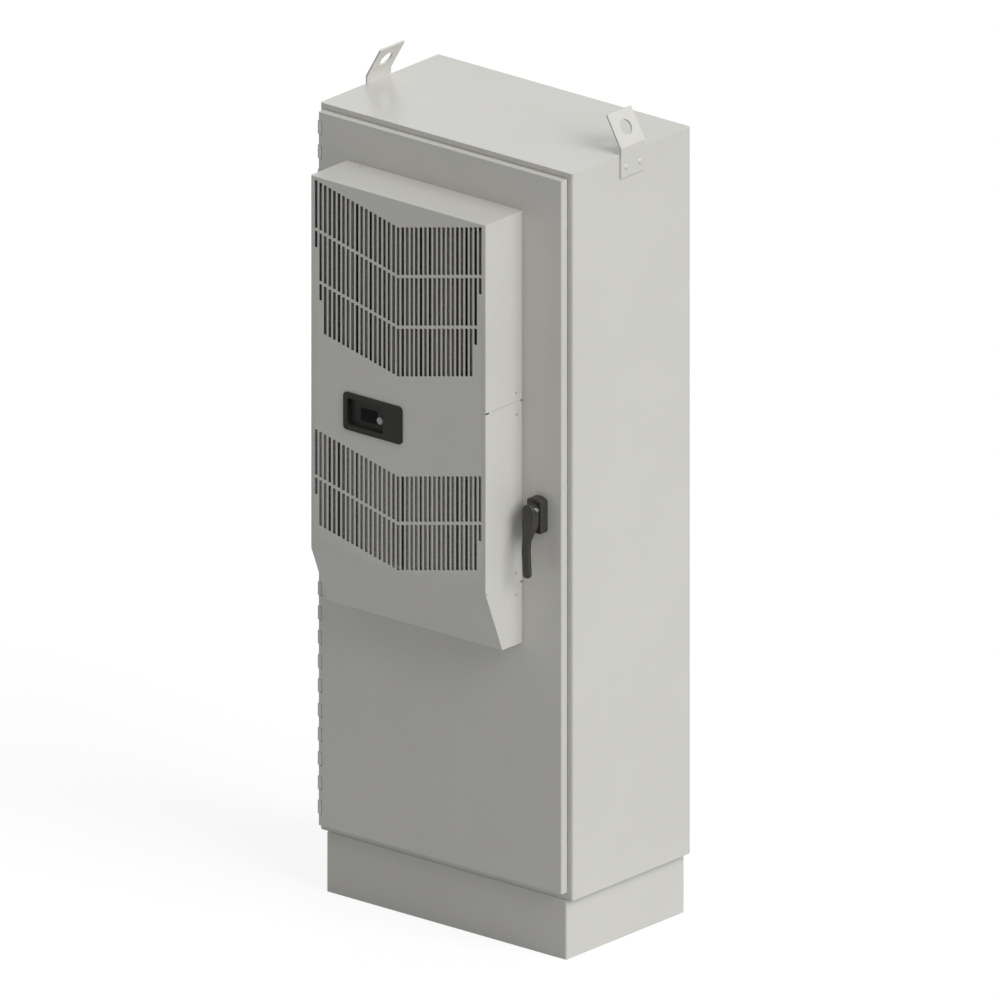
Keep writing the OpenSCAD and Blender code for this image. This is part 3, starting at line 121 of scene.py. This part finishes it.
# Polyester powder coat, baked on steel: soft sheen, fine orange peel
coatSet = {"shade": "cbcac4", "light": "cecdc8", "driftMm": 320, "rough": (0.22, 0.28), "ior": 1.65,
           "grainMm": 2.5, "relief": 0.2, "depthMm": 0.06}
powderCoat = coatFinish("powderCoatGrey", coatSet)
# The same coat on the louvred cover, with painted shade on the slots' walls, which look dark in the photograph
louvreCoat = coatFinish("powderCoatLouvred", {**coatSet, "paintedWallShade": "3a3936"})
# Die-cast zinc with a satin black coat: close, slightly pebbled
blackEnamel = coatFinish("satinBlackEnamel", {
    "shade": "31302d", "light": "3b3a36", "driftMm": 40, "rough": (0.38, 0.48),
    "grainMm": 1.2, "relief": 0.3, "depthMm": 0.08})
# Moulded ABS from an eroded mould: dull, even, fine grain
mouldedBlack = coatFinish("mouldedBlackPlastic", {
    "shade": "191815", "light": "201f1b", "driftMm": 60, "rough": (0.5, 0.6), "specular": 0.4,
    "grainMm": 1.0, "relief": 0.35, "depthMm": 0.08})
# Closed-cell foam rubber: dead matt, open pores
foamRubber = coatFinish("foamRubber", {
    "shade": "161616", "light": "202020", "driftMm": 15, "rough": (0.85, 0.95),
    "grainMm": 1.5, "relief": 0.6, "depthMm": 0.3})
# Drawn copper tube, a little dulled by the air
drawnCopper = coatFinish("drawnCopper", {
    "shade": "9a5c3c", "light": "b9744f", "driftMm": 30, "rough": (0.25, 0.4), "metal": 1.0,
    "grainMm": 2, "relief": 0.1, "depthMm": 0.05})
# Zinc plating on small steel parts: cool, faintly cloudy
zincPlate = coatFinish("zincPlatedSteel", {
    "shade": "a9acb0", "light": "c3c6c9", "driftMm": 12, "rough": (0.28, 0.4), "metal": 1.0,
    "grainMm": 1.5, "relief": 0.12, "depthMm": 0.04})
# Zinc flake on the cover's screws: pale, dull, warm
zincFlake = coatFinish("zincFlakeSteel", {
    "shade": "bab6ae", "light": "c4c0b8", "driftMm": 5, "rough": (0.5, 0.6), "metal": 0.1,
    "grainMm": 0.8, "relief": 0.15, "depthMm": 0.04})
# Moulded nylon: milky, waxy
mouldedNylon = coatFinish("mouldedNylon", {
    "shade": "bcbab3", "light": "c9c7c0", "driftMm": 20, "rough": (0.4, 0.5), "ior": 1.53,
    "grainMm": 1.0, "relief": 0.15, "depthMm": 0.05})
# Light grey ABS of the button: soft moulded sheen
buttonPlastic = coatFinish("buttonGreyPlastic", {
    "shade": "a6a5a0", "light": "b0afaa", "driftMm": 12, "rough": (0.38, 0.46),
    "grainMm": 0.8, "relief": 0.15, "depthMm": 0.04})
# Smoked acrylic with an anti-glare skin over a dark display: nearly black, few reflections
smokedAcrylic = coatFinish("smokedAcrylic", {
    "shade": "060606", "light": "080808", "driftMm": 40, "rough": (0.2, 0.28), "ior": 1.49, "specular": 0.12,
    "grainMm": 20, "relief": 0.02, "depthMm": 0.02})


# Hot-dip galvanised sheet: crystal spangles, each with its own grey and sheen
def spangledFinish(name, spangle):
    finish, tree = startFinish(name)
    coords = addNode(tree, "ShaderNodeTexCoord")
    crystals = addNode(tree, "ShaderNodeTexVoronoi", {"Scale": 1 / (spangle["acrossMm"] * mm), "Randomness": 1.0},
                       {"Vector": (coords, "Object")})
    tint = addNode(tree, "ShaderNodeValToRGB", links={"Fac": (crystals, "Color")})
    tint.color_ramp.elements[0].color = linear(spangle["dark"])
    tint.color_ramp.elements[1].color = linear(spangle["bright"])
    rough = addNode(tree, "ShaderNodeMapRange",
                    {"To Min": spangle["rough"][0], "To Max": spangle["rough"][1]}, {"Value": (crystals, "Color")})
    shader = addNode(tree, "ShaderNodeBsdfPrincipled", {"Metallic": 1.0},
                     {"Base Color": (tint, 0), "Roughness": (rough, 0)})
    addNode(tree, "ShaderNodeOutputMaterial", links={"Surface": (shader, 0)})
    return finish


galvanised = spangledFinish("galvanisedSheet", {"acrossMm": 14, "dark": "9b9ea1", "bright": "b7babc",
                                                "rough": (0.32, 0.5)})


# Fins and filter cloth behind the louvres: pale dust in upright columns of uneven weight, with painted shade, near
# black, in the gaps between
def finFinish(name, dustAndShade):
    finish, tree = startFinish(name)
    coords = addNode(tree, "ShaderNodeTexCoord")
    place = addNode(tree, "ShaderNodeSeparateXYZ", links={"Vector": (coords, "Object")})
    column = addNode(tree, "ShaderNodeTexNoise",
                     {"noise_dimensions": "1D", "Scale": 1 / (dustAndShade["columnMm"] * mm), "Detail": 0.0},
                     {"W": (place, "X")})
    weight = addNode(tree, "ShaderNodeMapRange",
                     {"From Min": dustAndShade["bare"], "From Max": dustAndShade["full"], "To Max": dustAndShade["weight"]},
                     {"Value": (column, 0)})
    grain = addNode(tree, "ShaderNodeTexNoise",
                    {"Scale": 1 / (dustAndShade["grainMm"] * mm), "Detail": dustAndShade["grainDetail"]},
                    {"Vector": (coords, "Object")})
    speck = addNode(tree, "ShaderNodeMapRange",
                    {"From Min": dustAndShade["grainFrom"][0], "From Max": dustAndShade["grainFrom"][1],
                     "To Min": -dustAndShade["speck"], "To Max": dustAndShade["speck"]},
                    {"Value": (grain, 0)})
    both = addNode(tree, "ShaderNodeMath", {"operation": "ADD"}, {0: (weight, 0), 1: (speck, 0)})
    tint = addNode(tree, "ShaderNodeValToRGB", links={"Fac": (both, 0)})
    # the first stop is painted shade, near black between the columns; the second is pale dust
    tint.color_ramp.elements[0].color = linear(dustAndShade["paintedShadeTint"])
    tint.color_ramp.elements[1].color = linear(dustAndShade["dusty"])
    shader = addNode(tree, "ShaderNodeBsdfPrincipled", {"Roughness": dustAndShade["rough"]}, {"Base Color": (tint, 0)})
    addNode(tree, "ShaderNodeOutputMaterial", links={"Surface": (shader, 0)})
    return finish


dustAndShadeSet = {"columnMm": 13, "bare": 0.35, "weight": 0.8, "grainMm": 5, "grainDetail": 2.0, "grainFrom": (0.3, 0.7),
           "speck": 0.2, "rough": 0.7}
# Mill-finish aluminium fins, painted near-black as shade, pale where dust lies on their edges
finStock = finFinish("aluminiumFinStock", {**dustAndShadeSet, "full": 0.48, "paintedShadeTint": "1d1c19", "dusty": "cac8bf"})
# Pleated polyester filter cloth, painted dark as shade, greyed by the street's dust
filterCloth = finFinish("greyFilterCloth", {**dustAndShadeSet, "full": 0.49, "paintedShadeTint": "2a2926", "dusty": "b0afa8"})
print("finishes made:", len(bpy.data.materials))


# Pieces from the frame

meshSet = {"mergeMm": 0.005, "flatDegrees": 0.5, "sharpDegrees": 38, "edgeSteps": 2, "fastenerDegrees": 35}
foldSet = {"levelMm": 0.01, "insetMm": 2.5, "steps": 5}
squareShare = 0.1  # a face is square to an axis where its normal has less than this along it


def bake(piece):
    depsgraph = bpy.context.evaluated_depsgraph_get()
    mesh = bpy.data.meshes.new_from_object(piece.evaluated_get(depsgraph))
    piece.modifiers.clear()
    piece.data = mesh
    mesh.name = piece.name


def standIn(piece, node):
    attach(piece, bodyOf[node])
    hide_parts(node)


# A node's own mesh, its loose triangles merged
def mergedMesh(mesh):
    work = bmesh.new()
    work.from_mesh(mesh)
    bmesh.ops.remove_doubles(work, verts=work.verts, dist=meshSet["mergeMm"] * mm)
    return work


# Edges of the outer fold round a piece's top: level with the top, and close to the outline
def topFold(work, low, high):
    def onFold(vert):
        inset = min(vert.co.x - low.x, high.x - vert.co.x, vert.co.y - low.y, high.y - vert.co.y)
        return abs(vert.co.z - high.z) < foldSet["levelMm"] * mm and inset < foldSet["insetMm"] * mm

    return [edge for edge in work.edges if all(onFold(vert) for vert in edge.verts)
            and min(abs(face.normal.z) for face in edge.link_faces) < squareShare]


# Walls punched through a front sheet, which get painted shade: they stand square to it, within its thickness
def markPunched(work, front, sheetMm):
    work.normal_update()
    punched = work.faces.layers.float.new("punched")
    for face in work.faces:
        deep = face.calc_center_median().y - front
        face[punched] = float(abs(face.normal.y) < squareShare and deep < sheetMm * mm)


# The node's own shape with its sharp edges broken by a small round, or only smoothed where the round is 0
def dress(node, finish, edgeMm, topMm=0, sheetMm=0):
    mesh = frame["nodes"][node].data.copy()
    work = mergedMesh(mesh)
    bmesh.ops.dissolve_limit(work, angle_limit=math.radians(meshSet["flatDegrees"]),
                             verts=work.verts, edges=work.edges)
    low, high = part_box(node)
    if topMm:
        bmesh.ops.bevel(work, geom=topFold(work, low, high), offset=topMm * mm, segments=foldSet["steps"],
                        profile=0.5, affect="EDGES")
    if sheetMm:
        markPunched(work, low.y, sheetMm)
    work.to_mesh(mesh)
    work.free()
    mesh.materials.clear()
    mesh.materials.append(finish)
    mesh.shade_smooth()
    piece = bpy.data.objects.new(node + "_dressed", mesh)
    scene.collection.objects.link(piece)
    sharp = math.radians(meshSet["sharpDegrees"])
    if edgeMm:
        edge = piece.modifiers.new("edge", "BEVEL")
        edge.width = edgeMm * mm
        edge.segments = meshSet["edgeSteps"]
        edge.limit_method = "ANGLE"
        edge.angle_limit = sharp
        flat = piece.modifiers.new("flat", "WEIGHTED_NORMAL")
        flat.weight = 100
        flat.keep_sharp = True
    else:
        mesh.set_sharp_from_angle(angle=sharp)
    bake(piece)
    standIn(piece, node)


# Edge rounds in millimetres
paintedSheet = {"enclosure_body": 1.6, "lifting_bracket_left": 1.0, "lifting_bracket_right": 1.0, "lifting_bolts": 0,
                "door_panel": 0.8, "hinge_body_leaf": 0.5, "hinge_door_leaf": 0.5, "door_stiffener": 0.5}
plinthSet = {"edgeMm": 1.5, "topMm": 7.0}
coverSet = {"edgeMm": 0.5, "sheetMm": 2.0}
for node, edgeMm in paintedSheet.items():
    dress(node, powderCoat, edgeMm)
dress("plinth", powderCoat, **plinthSet)
dress("ac_cover", louvreCoat, **coverSet)
print("painted sheet dressed")

blackParts = {"handle_base": (blackEnamel, 1.0), "handle_lever": (blackEnamel, 0.8),
              "controller_bezel": (mouldedBlack, 0.9), "display_window": (smokedAcrylic, 0.4),
              "compressor": (blackEnamel, 0.6), "condenser_motor": (blackEnamel, 0.8),
              "blower_motor": (blackEnamel, 0.8), "fan_shroud": (mouldedBlack, 0.4),
              "condenser_fan": (mouldedBlack, 0.3), "evaporator_impeller": (mouldedBlack, 0.3),
              "condensate_tray": (mouldedBlack, 0.5), "supply_grille": (mouldedBlack, 0.3),
              "door_gasket": (foamRubber, 1.5), "ac_gasket": (foamRubber, 0.8), "compressor_feet": (foamRubber, 0.8)}
steelParts = {"mounting_panel": (galvanised, 0.6), "air_box": (galvanised, 0.5), "ac_chassis": (galvanised, 0.5),
              "compressor_shelf": (galvanised, 0.5), "control_box": (galvanised, 0.4), "latch_cam": (zincPlate, 0.4),
              "latch_rod_upper": (zincPlate, 0.4), "latch_rod_lower": (zincPlate, 0.4),
              "rod_guide_upper": (zincPlate, 0.4), "rod_guide_lower": (zincPlate, 0.4),
              "lock_cylinder": (zincPlate, 0.3), "cam_screw": (zincPlate, 0.4), "handle_spindle": (zincPlate, 0.5),
              "handle_screws": (zincPlate, 0.5), "hinge_pin": (zincPlate, 0.3), "panel_studs": (zincPlate, 0.5),
              "roller_pin_upper": (zincPlate, 0.4), "roller_pin_lower": (zincPlate, 0.4),
              "return_guard": (zincPlate, 0)}
paleParts = {"spindle_bush": (mouldedNylon, 0.5), "rod_roller_upper": (mouldedNylon, 0.6),
             "rod_roller_lower": (mouldedNylon, 0.6), "controller_button": (buttonPlastic, 1.2),
             "discharge_pipe": (drawnCopper, 0), "suction_pipe": (drawnCopper, 0),
             "condenser_coil": (finStock, 0), "evaporator_coil": (finStock, 0.4), "air_filter": (filterCloth, 0.4)}
for group in (blackParts, steelParts, paleParts):
    for node, (finish, edgeMm) in group.items():
        dress(node, finish, edgeMm)
print("castings, mouldings and steelwork dressed")


# Fasteners, one made by nodes and set at every place the frame has one

def newTree(name, inputs):
    tree = bpy.data.node_groups.new(name, "GeometryNodeTree")
    tree.interface.new_socket("Geometry", in_out="INPUT", socket_type="NodeSocketGeometry")
    for label in inputs:
        kind = "NodeSocketMaterial" if label == "Finish" else "NodeSocketFloat"
        tree.interface.new_socket(label, in_out="INPUT", socket_type=kind)
    tree.interface.new_socket("Geometry", in_out="OUTPUT", socket_type="NodeSocketGeometry")
    return tree, addNode(tree, "NodeGroupInput")


# A value of the tree's inputs times a number, plus another input times a number
def blend(tree, given, first, timesFirst, second=None, timesSecond=0.0):
    one = addNode(tree, "ShaderNodeMath", {"operation": "MULTIPLY", 1: timesFirst}, {0: (given, first)})
    if second is None:
        return one
    return addNode(tree, "ShaderNodeMath", {"operation": "MULTIPLY_ADD", 1: timesSecond},
                   {0: (given, second), 2: (one, 0)})


def raised(tree, shape, height):
    lift = addNode(tree, "ShaderNodeCombineXYZ", links={"Z": (height, 0)})
    return addNode(tree, "GeometryNodeTransform", links={"Geometry": (shape, "Mesh"), "Translation": (lift, 0)})


def endTree(tree, given, shapes):
    joined = addNode(tree, "GeometryNodeJoinGeometry")
    for shape in shapes:
        tree.links.new(shape.outputs[0], joined.inputs[0])
    facing = addNode(tree, "GeometryNodeInputNamedAttribute", {"data_type": "FLOAT_VECTOR", "Name": "outward"})
    turned = addNode(tree, "FunctionNodeAlignRotationToVector", {"axis": "Z"}, {"Vector": (facing, "Attribute")})
    placed = addNode(tree, "GeometryNodeInstanceOnPoints",
                     links={"Points": (given, "Geometry"), "Instance": (joined, 0), "Rotation": (turned, 0)})
    real = addNode(tree, "GeometryNodeRealizeInstances", links={"Geometry": (placed, 0)})
    painted = addNode(tree, "GeometryNodeSetMaterial",
                      links={"Geometry": (real, 0), "Material": (given, "Finish")})
    addNode(tree, "NodeGroupOutput", links={"Geometry": (painted, 0)})
    return tree


# Shares of the flats and of the head; the turning cone stands past both ends of the head
hexShare = {"corner": 0.57735, "middle": 0.475, "top": -0.52, "foot": 1.9, "coneDepth": 1.4, "coneAt": -0.6}


# Hexagon head with its top corners turned off, on a flat washer, with a shank and a nut below
def hexBolt():
    tree, given = newTree("hexBolt", ["Flats", "Head", "Washer Radius", "Washer", "Shank Radius", "Shank",
                                      "Nut At", "Nut", "Finish"])
    corner = blend(tree, given, "Flats", hexShare["corner"])
    prism = addNode(tree, "GeometryNodeMeshCylinder", {"Vertices": 6},
                    {"Radius": (corner, 0), "Depth": (given, "Head")})
    tip = blend(tree, given, "Flats", hexShare["middle"], "Head", hexShare["top"])
    foot = blend(tree, given, "Flats", hexShare["middle"], "Head", hexShare["foot"])
    deep = blend(tree, given, "Head", hexShare["coneDepth"])
    turned = addNode(tree, "GeometryNodeMeshCone", {"Vertices": 32},
                     {"Radius Top": (tip, 0), "Radius Bottom": (foot, 0), "Depth": (deep, 0)})
    cone = raised(tree, turned, blend(tree, given, "Head", hexShare["coneAt"]))
    cut = addNode(tree, "GeometryNodeMeshBoolean", {"operation": "INTERSECT"})
    tree.links.new(prism.outputs["Mesh"], cut.inputs["Mesh 2"])
    tree.links.new(cone.outputs[0], cut.inputs["Mesh 2"])
    head = raised(tree, cut, blend(tree, given, "Head", 0.5, "Washer", 1.0))
    disc = addNode(tree, "GeometryNodeMeshCylinder", {"Vertices": 32},
                   {"Radius": (given, "Washer Radius"), "Depth": (given, "Washer")})
    washer = raised(tree, disc, blend(tree, given, "Washer", 0.5))
    rod = addNode(tree, "GeometryNodeMeshCylinder", {"Vertices": 24},
                  {"Radius": (given, "Shank Radius"), "Depth": (given, "Shank")})
    shank = raised(tree, rod, blend(tree, given, "Shank", -0.5))
    ring = addNode(tree, "GeometryNodeMeshCylinder", {"Vertices": 6},
                   {"Radius": (corner, 0), "Depth": (given, "Nut")})
    nut = raised(tree, ring, blend(tree, given, "Nut At", -1.0, "Nut", -0.5))
    return endTree(tree, given, [head, washer, shank, nut])


# Shares of the head's radius, and of its height for where the cross is sunk
panShare = {"drum": 1.2, "crossLong": 1.1, "crossWide": 0.24, "crossAt": 0.9}


# Pan head with a cross recess, on a plain shank
def panScrew():
    tree, given = newTree("panScrew", ["Head Radius", "Head", "Shank Radius", "Shank", "Finish"])
    ball = addNode(tree, "GeometryNodeMeshUVSphere", {"Segments": 28, "Rings": 16, "Radius": 1.0})
    size = addNode(tree, "ShaderNodeCombineXYZ",
                   links={"X": (given, "Head Radius"), "Y": (given, "Head Radius"), "Z": (given, "Head")})
    dome = addNode(tree, "GeometryNodeTransform", links={"Geometry": (ball, "Mesh"), "Scale": (size, 0)})
    wide = blend(tree, given, "Head Radius", panShare["drum"])
    drum = addNode(tree, "GeometryNodeMeshCylinder", {"Vertices": 28},
                   {"Radius": (wide, 0), "Depth": (given, "Head")})
    above = raised(tree, drum, blend(tree, given, "Head", 0.5))
    cap = addNode(tree, "GeometryNodeMeshBoolean", {"operation": "INTERSECT"})
    tree.links.new(dome.outputs[0], cap.inputs["Mesh 2"])
    tree.links.new(above.outputs[0], cap.inputs["Mesh 2"])
    crossLong = blend(tree, given, "Head Radius", panShare["crossLong"])
    crossWide = blend(tree, given, "Head Radius", panShare["crossWide"])
    bar = addNode(tree, "ShaderNodeCombineXYZ",
                  links={"X": (crossLong, 0), "Y": (crossWide, 0), "Z": (given, "Head")})
    cube = addNode(tree, "GeometryNodeMeshCube", links={"Size": (bar, 0)})
    across = raised(tree, cube, blend(tree, given, "Head", panShare["crossAt"]))
    along = addNode(tree, "GeometryNodeTransform", {"Rotation": (0, 0, math.pi / 2)}, {"Geometry": (across, 0)})
    head = addNode(tree, "GeometryNodeMeshBoolean", {"operation": "DIFFERENCE"}, {"Mesh 1": (cap, 0)})
    tree.links.new(across.outputs[0], head.inputs["Mesh 2"])
    tree.links.new(along.outputs[0], head.inputs["Mesh 2"])
    rod = addNode(tree, "GeometryNodeMeshCylinder", {"Vertices": 20},
                  {"Radius": (given, "Shank Radius"), "Depth": (given, "Shank")})
    shank = raised(tree, rod, blend(tree, given, "Shank", -0.5))
    return endTree(tree, given, [head, shank])


# Boxes of the separate solids in one node
def islands(node):
    work = mergedMesh(frame["nodes"][node].data)
    left, boxes = set(work.verts), []
    while left:
        ends, found = [left.pop()], []
        while ends:
            vert = ends.pop()
            found.append(vert.co.copy())
            for edge in vert.link_edges:
                other = edge.other_vert(vert)
                if other in left:
                    left.remove(other)
                    ends.append(other)
        boxes.append(tuple(Vector([pick(co[k] for co in found) for k in range(3)]) for pick in (min, max)))
    work.free()
    return boxes


def setFasteners(node, tree, values, seats):
    mesh = bpy.data.meshes.new(node + "_seats")
    mesh.from_pydata([place for place, outward in seats], [], [])
    facing = mesh.attributes.new("outward", "FLOAT_VECTOR", "POINT")
    for k, (place, outward) in enumerate(seats):
        facing.data[k].vector = outward
    piece = bpy.data.objects.new(node + "_made", mesh)
    scene.collection.objects.link(piece)
    grow = piece.modifiers.new(tree.name, "NODES")
    grow.node_group = tree
    for item in tree.interface.items_tree:
        if item.in_out == "INPUT" and item.name in values:
            grow[item.identifier] = values[item.name]
    bake(piece)
    piece.data.shade_smooth()
    piece.data.set_sharp_from_angle(angle=math.radians(meshSet["fastenerDegrees"]))
    standIn(piece, node)
    print(node, "set:", len(seats))


hexTree, panTree = hexBolt(), panScrew()

# Cover screws: each stands on the nearest face of the cover
coverScrew = {"Head Radius": 4.5 * mm, "Head": 2.4 * mm, "Shank Radius": 2.0 * mm, "Shank": 7.0 * mm,
              "Finish": zincFlake}
low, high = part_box("ac_cover")
seats = []
for lo, hi in islands("ac_screws"):
    middle = (lo + hi) / 2
    ways = [(abs(middle[axis] - edge[axis]), axis, edge[axis], sign)
            for axis in (0, 2) for edge, sign in ((low, -1), (high, 1))]
    nearest, axis, level, sign = min(ways)
    outward = Vector((0, 0, 0))
    outward[axis] = sign
    middle[axis] = level
    seats.append((middle, outward))
setFasteners("ac_screws", panTree, coverScrew, seats)

# Plinth bolts: head inside the cabinet, nut under the plinth's flange
plinthBolt = {"Flats": 16 * mm, "Head": 5.0 * mm, "Washer Radius": 10 * mm, "Washer": 1.5 * mm,
              "Shank Radius": 5 * mm, "Shank": 16.4 * mm, "Nut At": 5.5 * mm, "Nut": 8 * mm, "Finish": zincPlate}
seats = []
for lo, hi in islands("plinth_bolts"):
    middle = (lo + hi) / 2
    middle.z = hi.z - plinthBolt["Head"] - plinthBolt["Washer"]
    seats.append((middle, Vector((0, 0, 1))))
setFasteners("plinth_bolts", hexTree, plinthBolt, seats)

# Panel nuts: on the studs, facing the door; the studs stay the frame's own, and a stub joins nut and stud
panelNut = {"Flats": 16 * mm, "Head": 6.0 * mm, "Washer Radius": 10 * mm, "Washer": 2.0 * mm,
            "Shank Radius": 5 * mm, "Shank": 2.0 * mm, "Nut At": 0.2 * mm, "Nut": 0.5 * mm, "Finish": zincPlate}
seats = []
for lo, hi in islands("panel_nuts"):
    middle = (lo + hi) / 2
    middle.y = hi.y
    seats.append((middle, Vector((0, -1, 0))))
setFasteners("panel_nuts", hexTree, panelNut, seats)


# Stage

def lightPath(tree, first, *others):
    path = addNode(tree, "ShaderNodeLightPath")
    seen = (path, first)
    for kind in others:
        seen = (addNode(tree, "ShaderNodeMath", {"operation": "MAXIMUM"}, {0: seen, 1: (path, kind)}), 0)
    return seen


# Pale floor: white to the camera with a faint shadow, greyer where it lights the cabinet
floorSet = {"halfM": 30.0, "shown": "f4f4f4", "shadowShare": 0.22, "bounce": "c8c8c8", "glow": 1.08}
half = floorSet["halfM"]
floorMesh = bpy.data.meshes.new("floor")
floorMesh.from_pydata([(-half, -half, 0), (half, -half, 0), (half, half, 0), (-half, half, 0)], [], [(0, 1, 2, 3)])
floor = bpy.data.objects.new("floor", floorMesh)
scene.collection.objects.link(floor)
floorFinish, tree = startFinish("paleFloor")
seen = lightPath(tree, "Is Camera Ray", "Is Transmission Ray")
bounce = addNode(tree, "ShaderNodeBsdfDiffuse", {"Color": linear(floorSet["bounce"])})
pale = addNode(tree, "ShaderNodeBsdfDiffuse", {"Color": linear(floorSet["shown"])})
glow = addNode(tree, "ShaderNodeEmission", {"Strength": floorSet["glow"]})
shown = addNode(tree, "ShaderNodeMixShader", {"Fac": floorSet["shadowShare"]}, {1: (glow, 0), 2: (pale, 0)})
surface = addNode(tree, "ShaderNodeMixShader", links={"Fac": seen, 1: (bounce, 0), 2: (shown, 0)})
addNode(tree, "ShaderNodeOutputMaterial", links={"Surface": (surface, 0)})
floorMesh.materials.append(floorFinish)

# Sky: a low even fill that grows upwards and towards the back, and plain white to the camera and in reflections
skySet = {"fill": 0.13, "above": 0.37, "behind": 0.45}
world = bpy.data.worlds.new("studio")
scene.world = world
world.use_nodes = True
tree = world.node_tree
tree.nodes.clear()
seen = lightPath(tree, "Is Camera Ray", "Is Transmission Ray", "Is Glossy Ray")
place = addNode(tree, "ShaderNodeTexCoord")
side = addNode(tree, "ShaderNodeSeparateXYZ", links={"Vector": (place, "Generated")})
above = addNode(tree, "ShaderNodeMapRange", {"To Min": skySet["fill"], "To Max": skySet["fill"] + skySet["above"]},
                {"Value": (side, "Z")})
behind = addNode(tree, "ShaderNodeMapRange", {"To Max": skySet["behind"]}, {"Value": (side, "Y")})
level = addNode(tree, "ShaderNodeMath", {"operation": "ADD"}, {0: (above, 0), 1: (behind, 0)})
fill = addNode(tree, "ShaderNodeBackground", {"Color": (1, 1, 1, 1)}, {"Strength": (level, 0)})
white = addNode(tree, "ShaderNodeBackground", {"Color": (1, 1, 1, 1), "Strength": 1.0})
mixed = addNode(tree, "ShaderNodeMixShader", links={"Fac": seen, 1: (fill, 0), 2: (white, 0)})
addNode(tree, "ShaderNodeOutputWorld", links={"Surface": (mixed, 0)})

# One broad sun from the right and above: light right side and roof, shaded front
sunSet = {"towards": (0.80, -0.03, 0.60), "strength": 2.23, "spreadDegrees": 40}
sun = bpy.data.objects.new("sun", bpy.data.lights.new("sun", "SUN"))
sun.data.energy = sunSet["strength"]
sun.data.angle = math.radians(sunSet["spreadDegrees"])
sun.rotation_mode = "QUATERNION"
sun.rotation_quaternion = Vector(sunSet["towards"]).to_track_quat("Z", "Y")
scene.collection.objects.link(sun)

# The photograph's view: parallel projection from the right and above
viewSet = {"azimuth": 40.0, "elevation": 20.0, "aimMm": (2.87, -23.4, 1013.0), "spanMm": 2354.0,
           "distanceM": 8.0, "farM": 100}
a, e = math.radians(viewSet["azimuth"]), math.radians(viewSet["elevation"])
back = Vector((math.sin(a) * math.cos(e), -math.cos(a) * math.cos(e), math.sin(e)))
camera = bpy.data.objects.new("camera", bpy.data.cameras.new("camera"))
camera.data.type = "ORTHO"
camera.data.ortho_scale = viewSet["spanMm"] * mm
camera.data.clip_end = viewSet["farM"]
camera.location = Vector(viewSet["aimMm"]) * mm + back * viewSet["distanceM"]
camera.rotation_mode = "QUATERNION"
camera.rotation_quaternion = (-back).to_track_quat("-Z", "Y")
scene.collection.objects.link(camera)
scene.camera = camera
print("stage set")
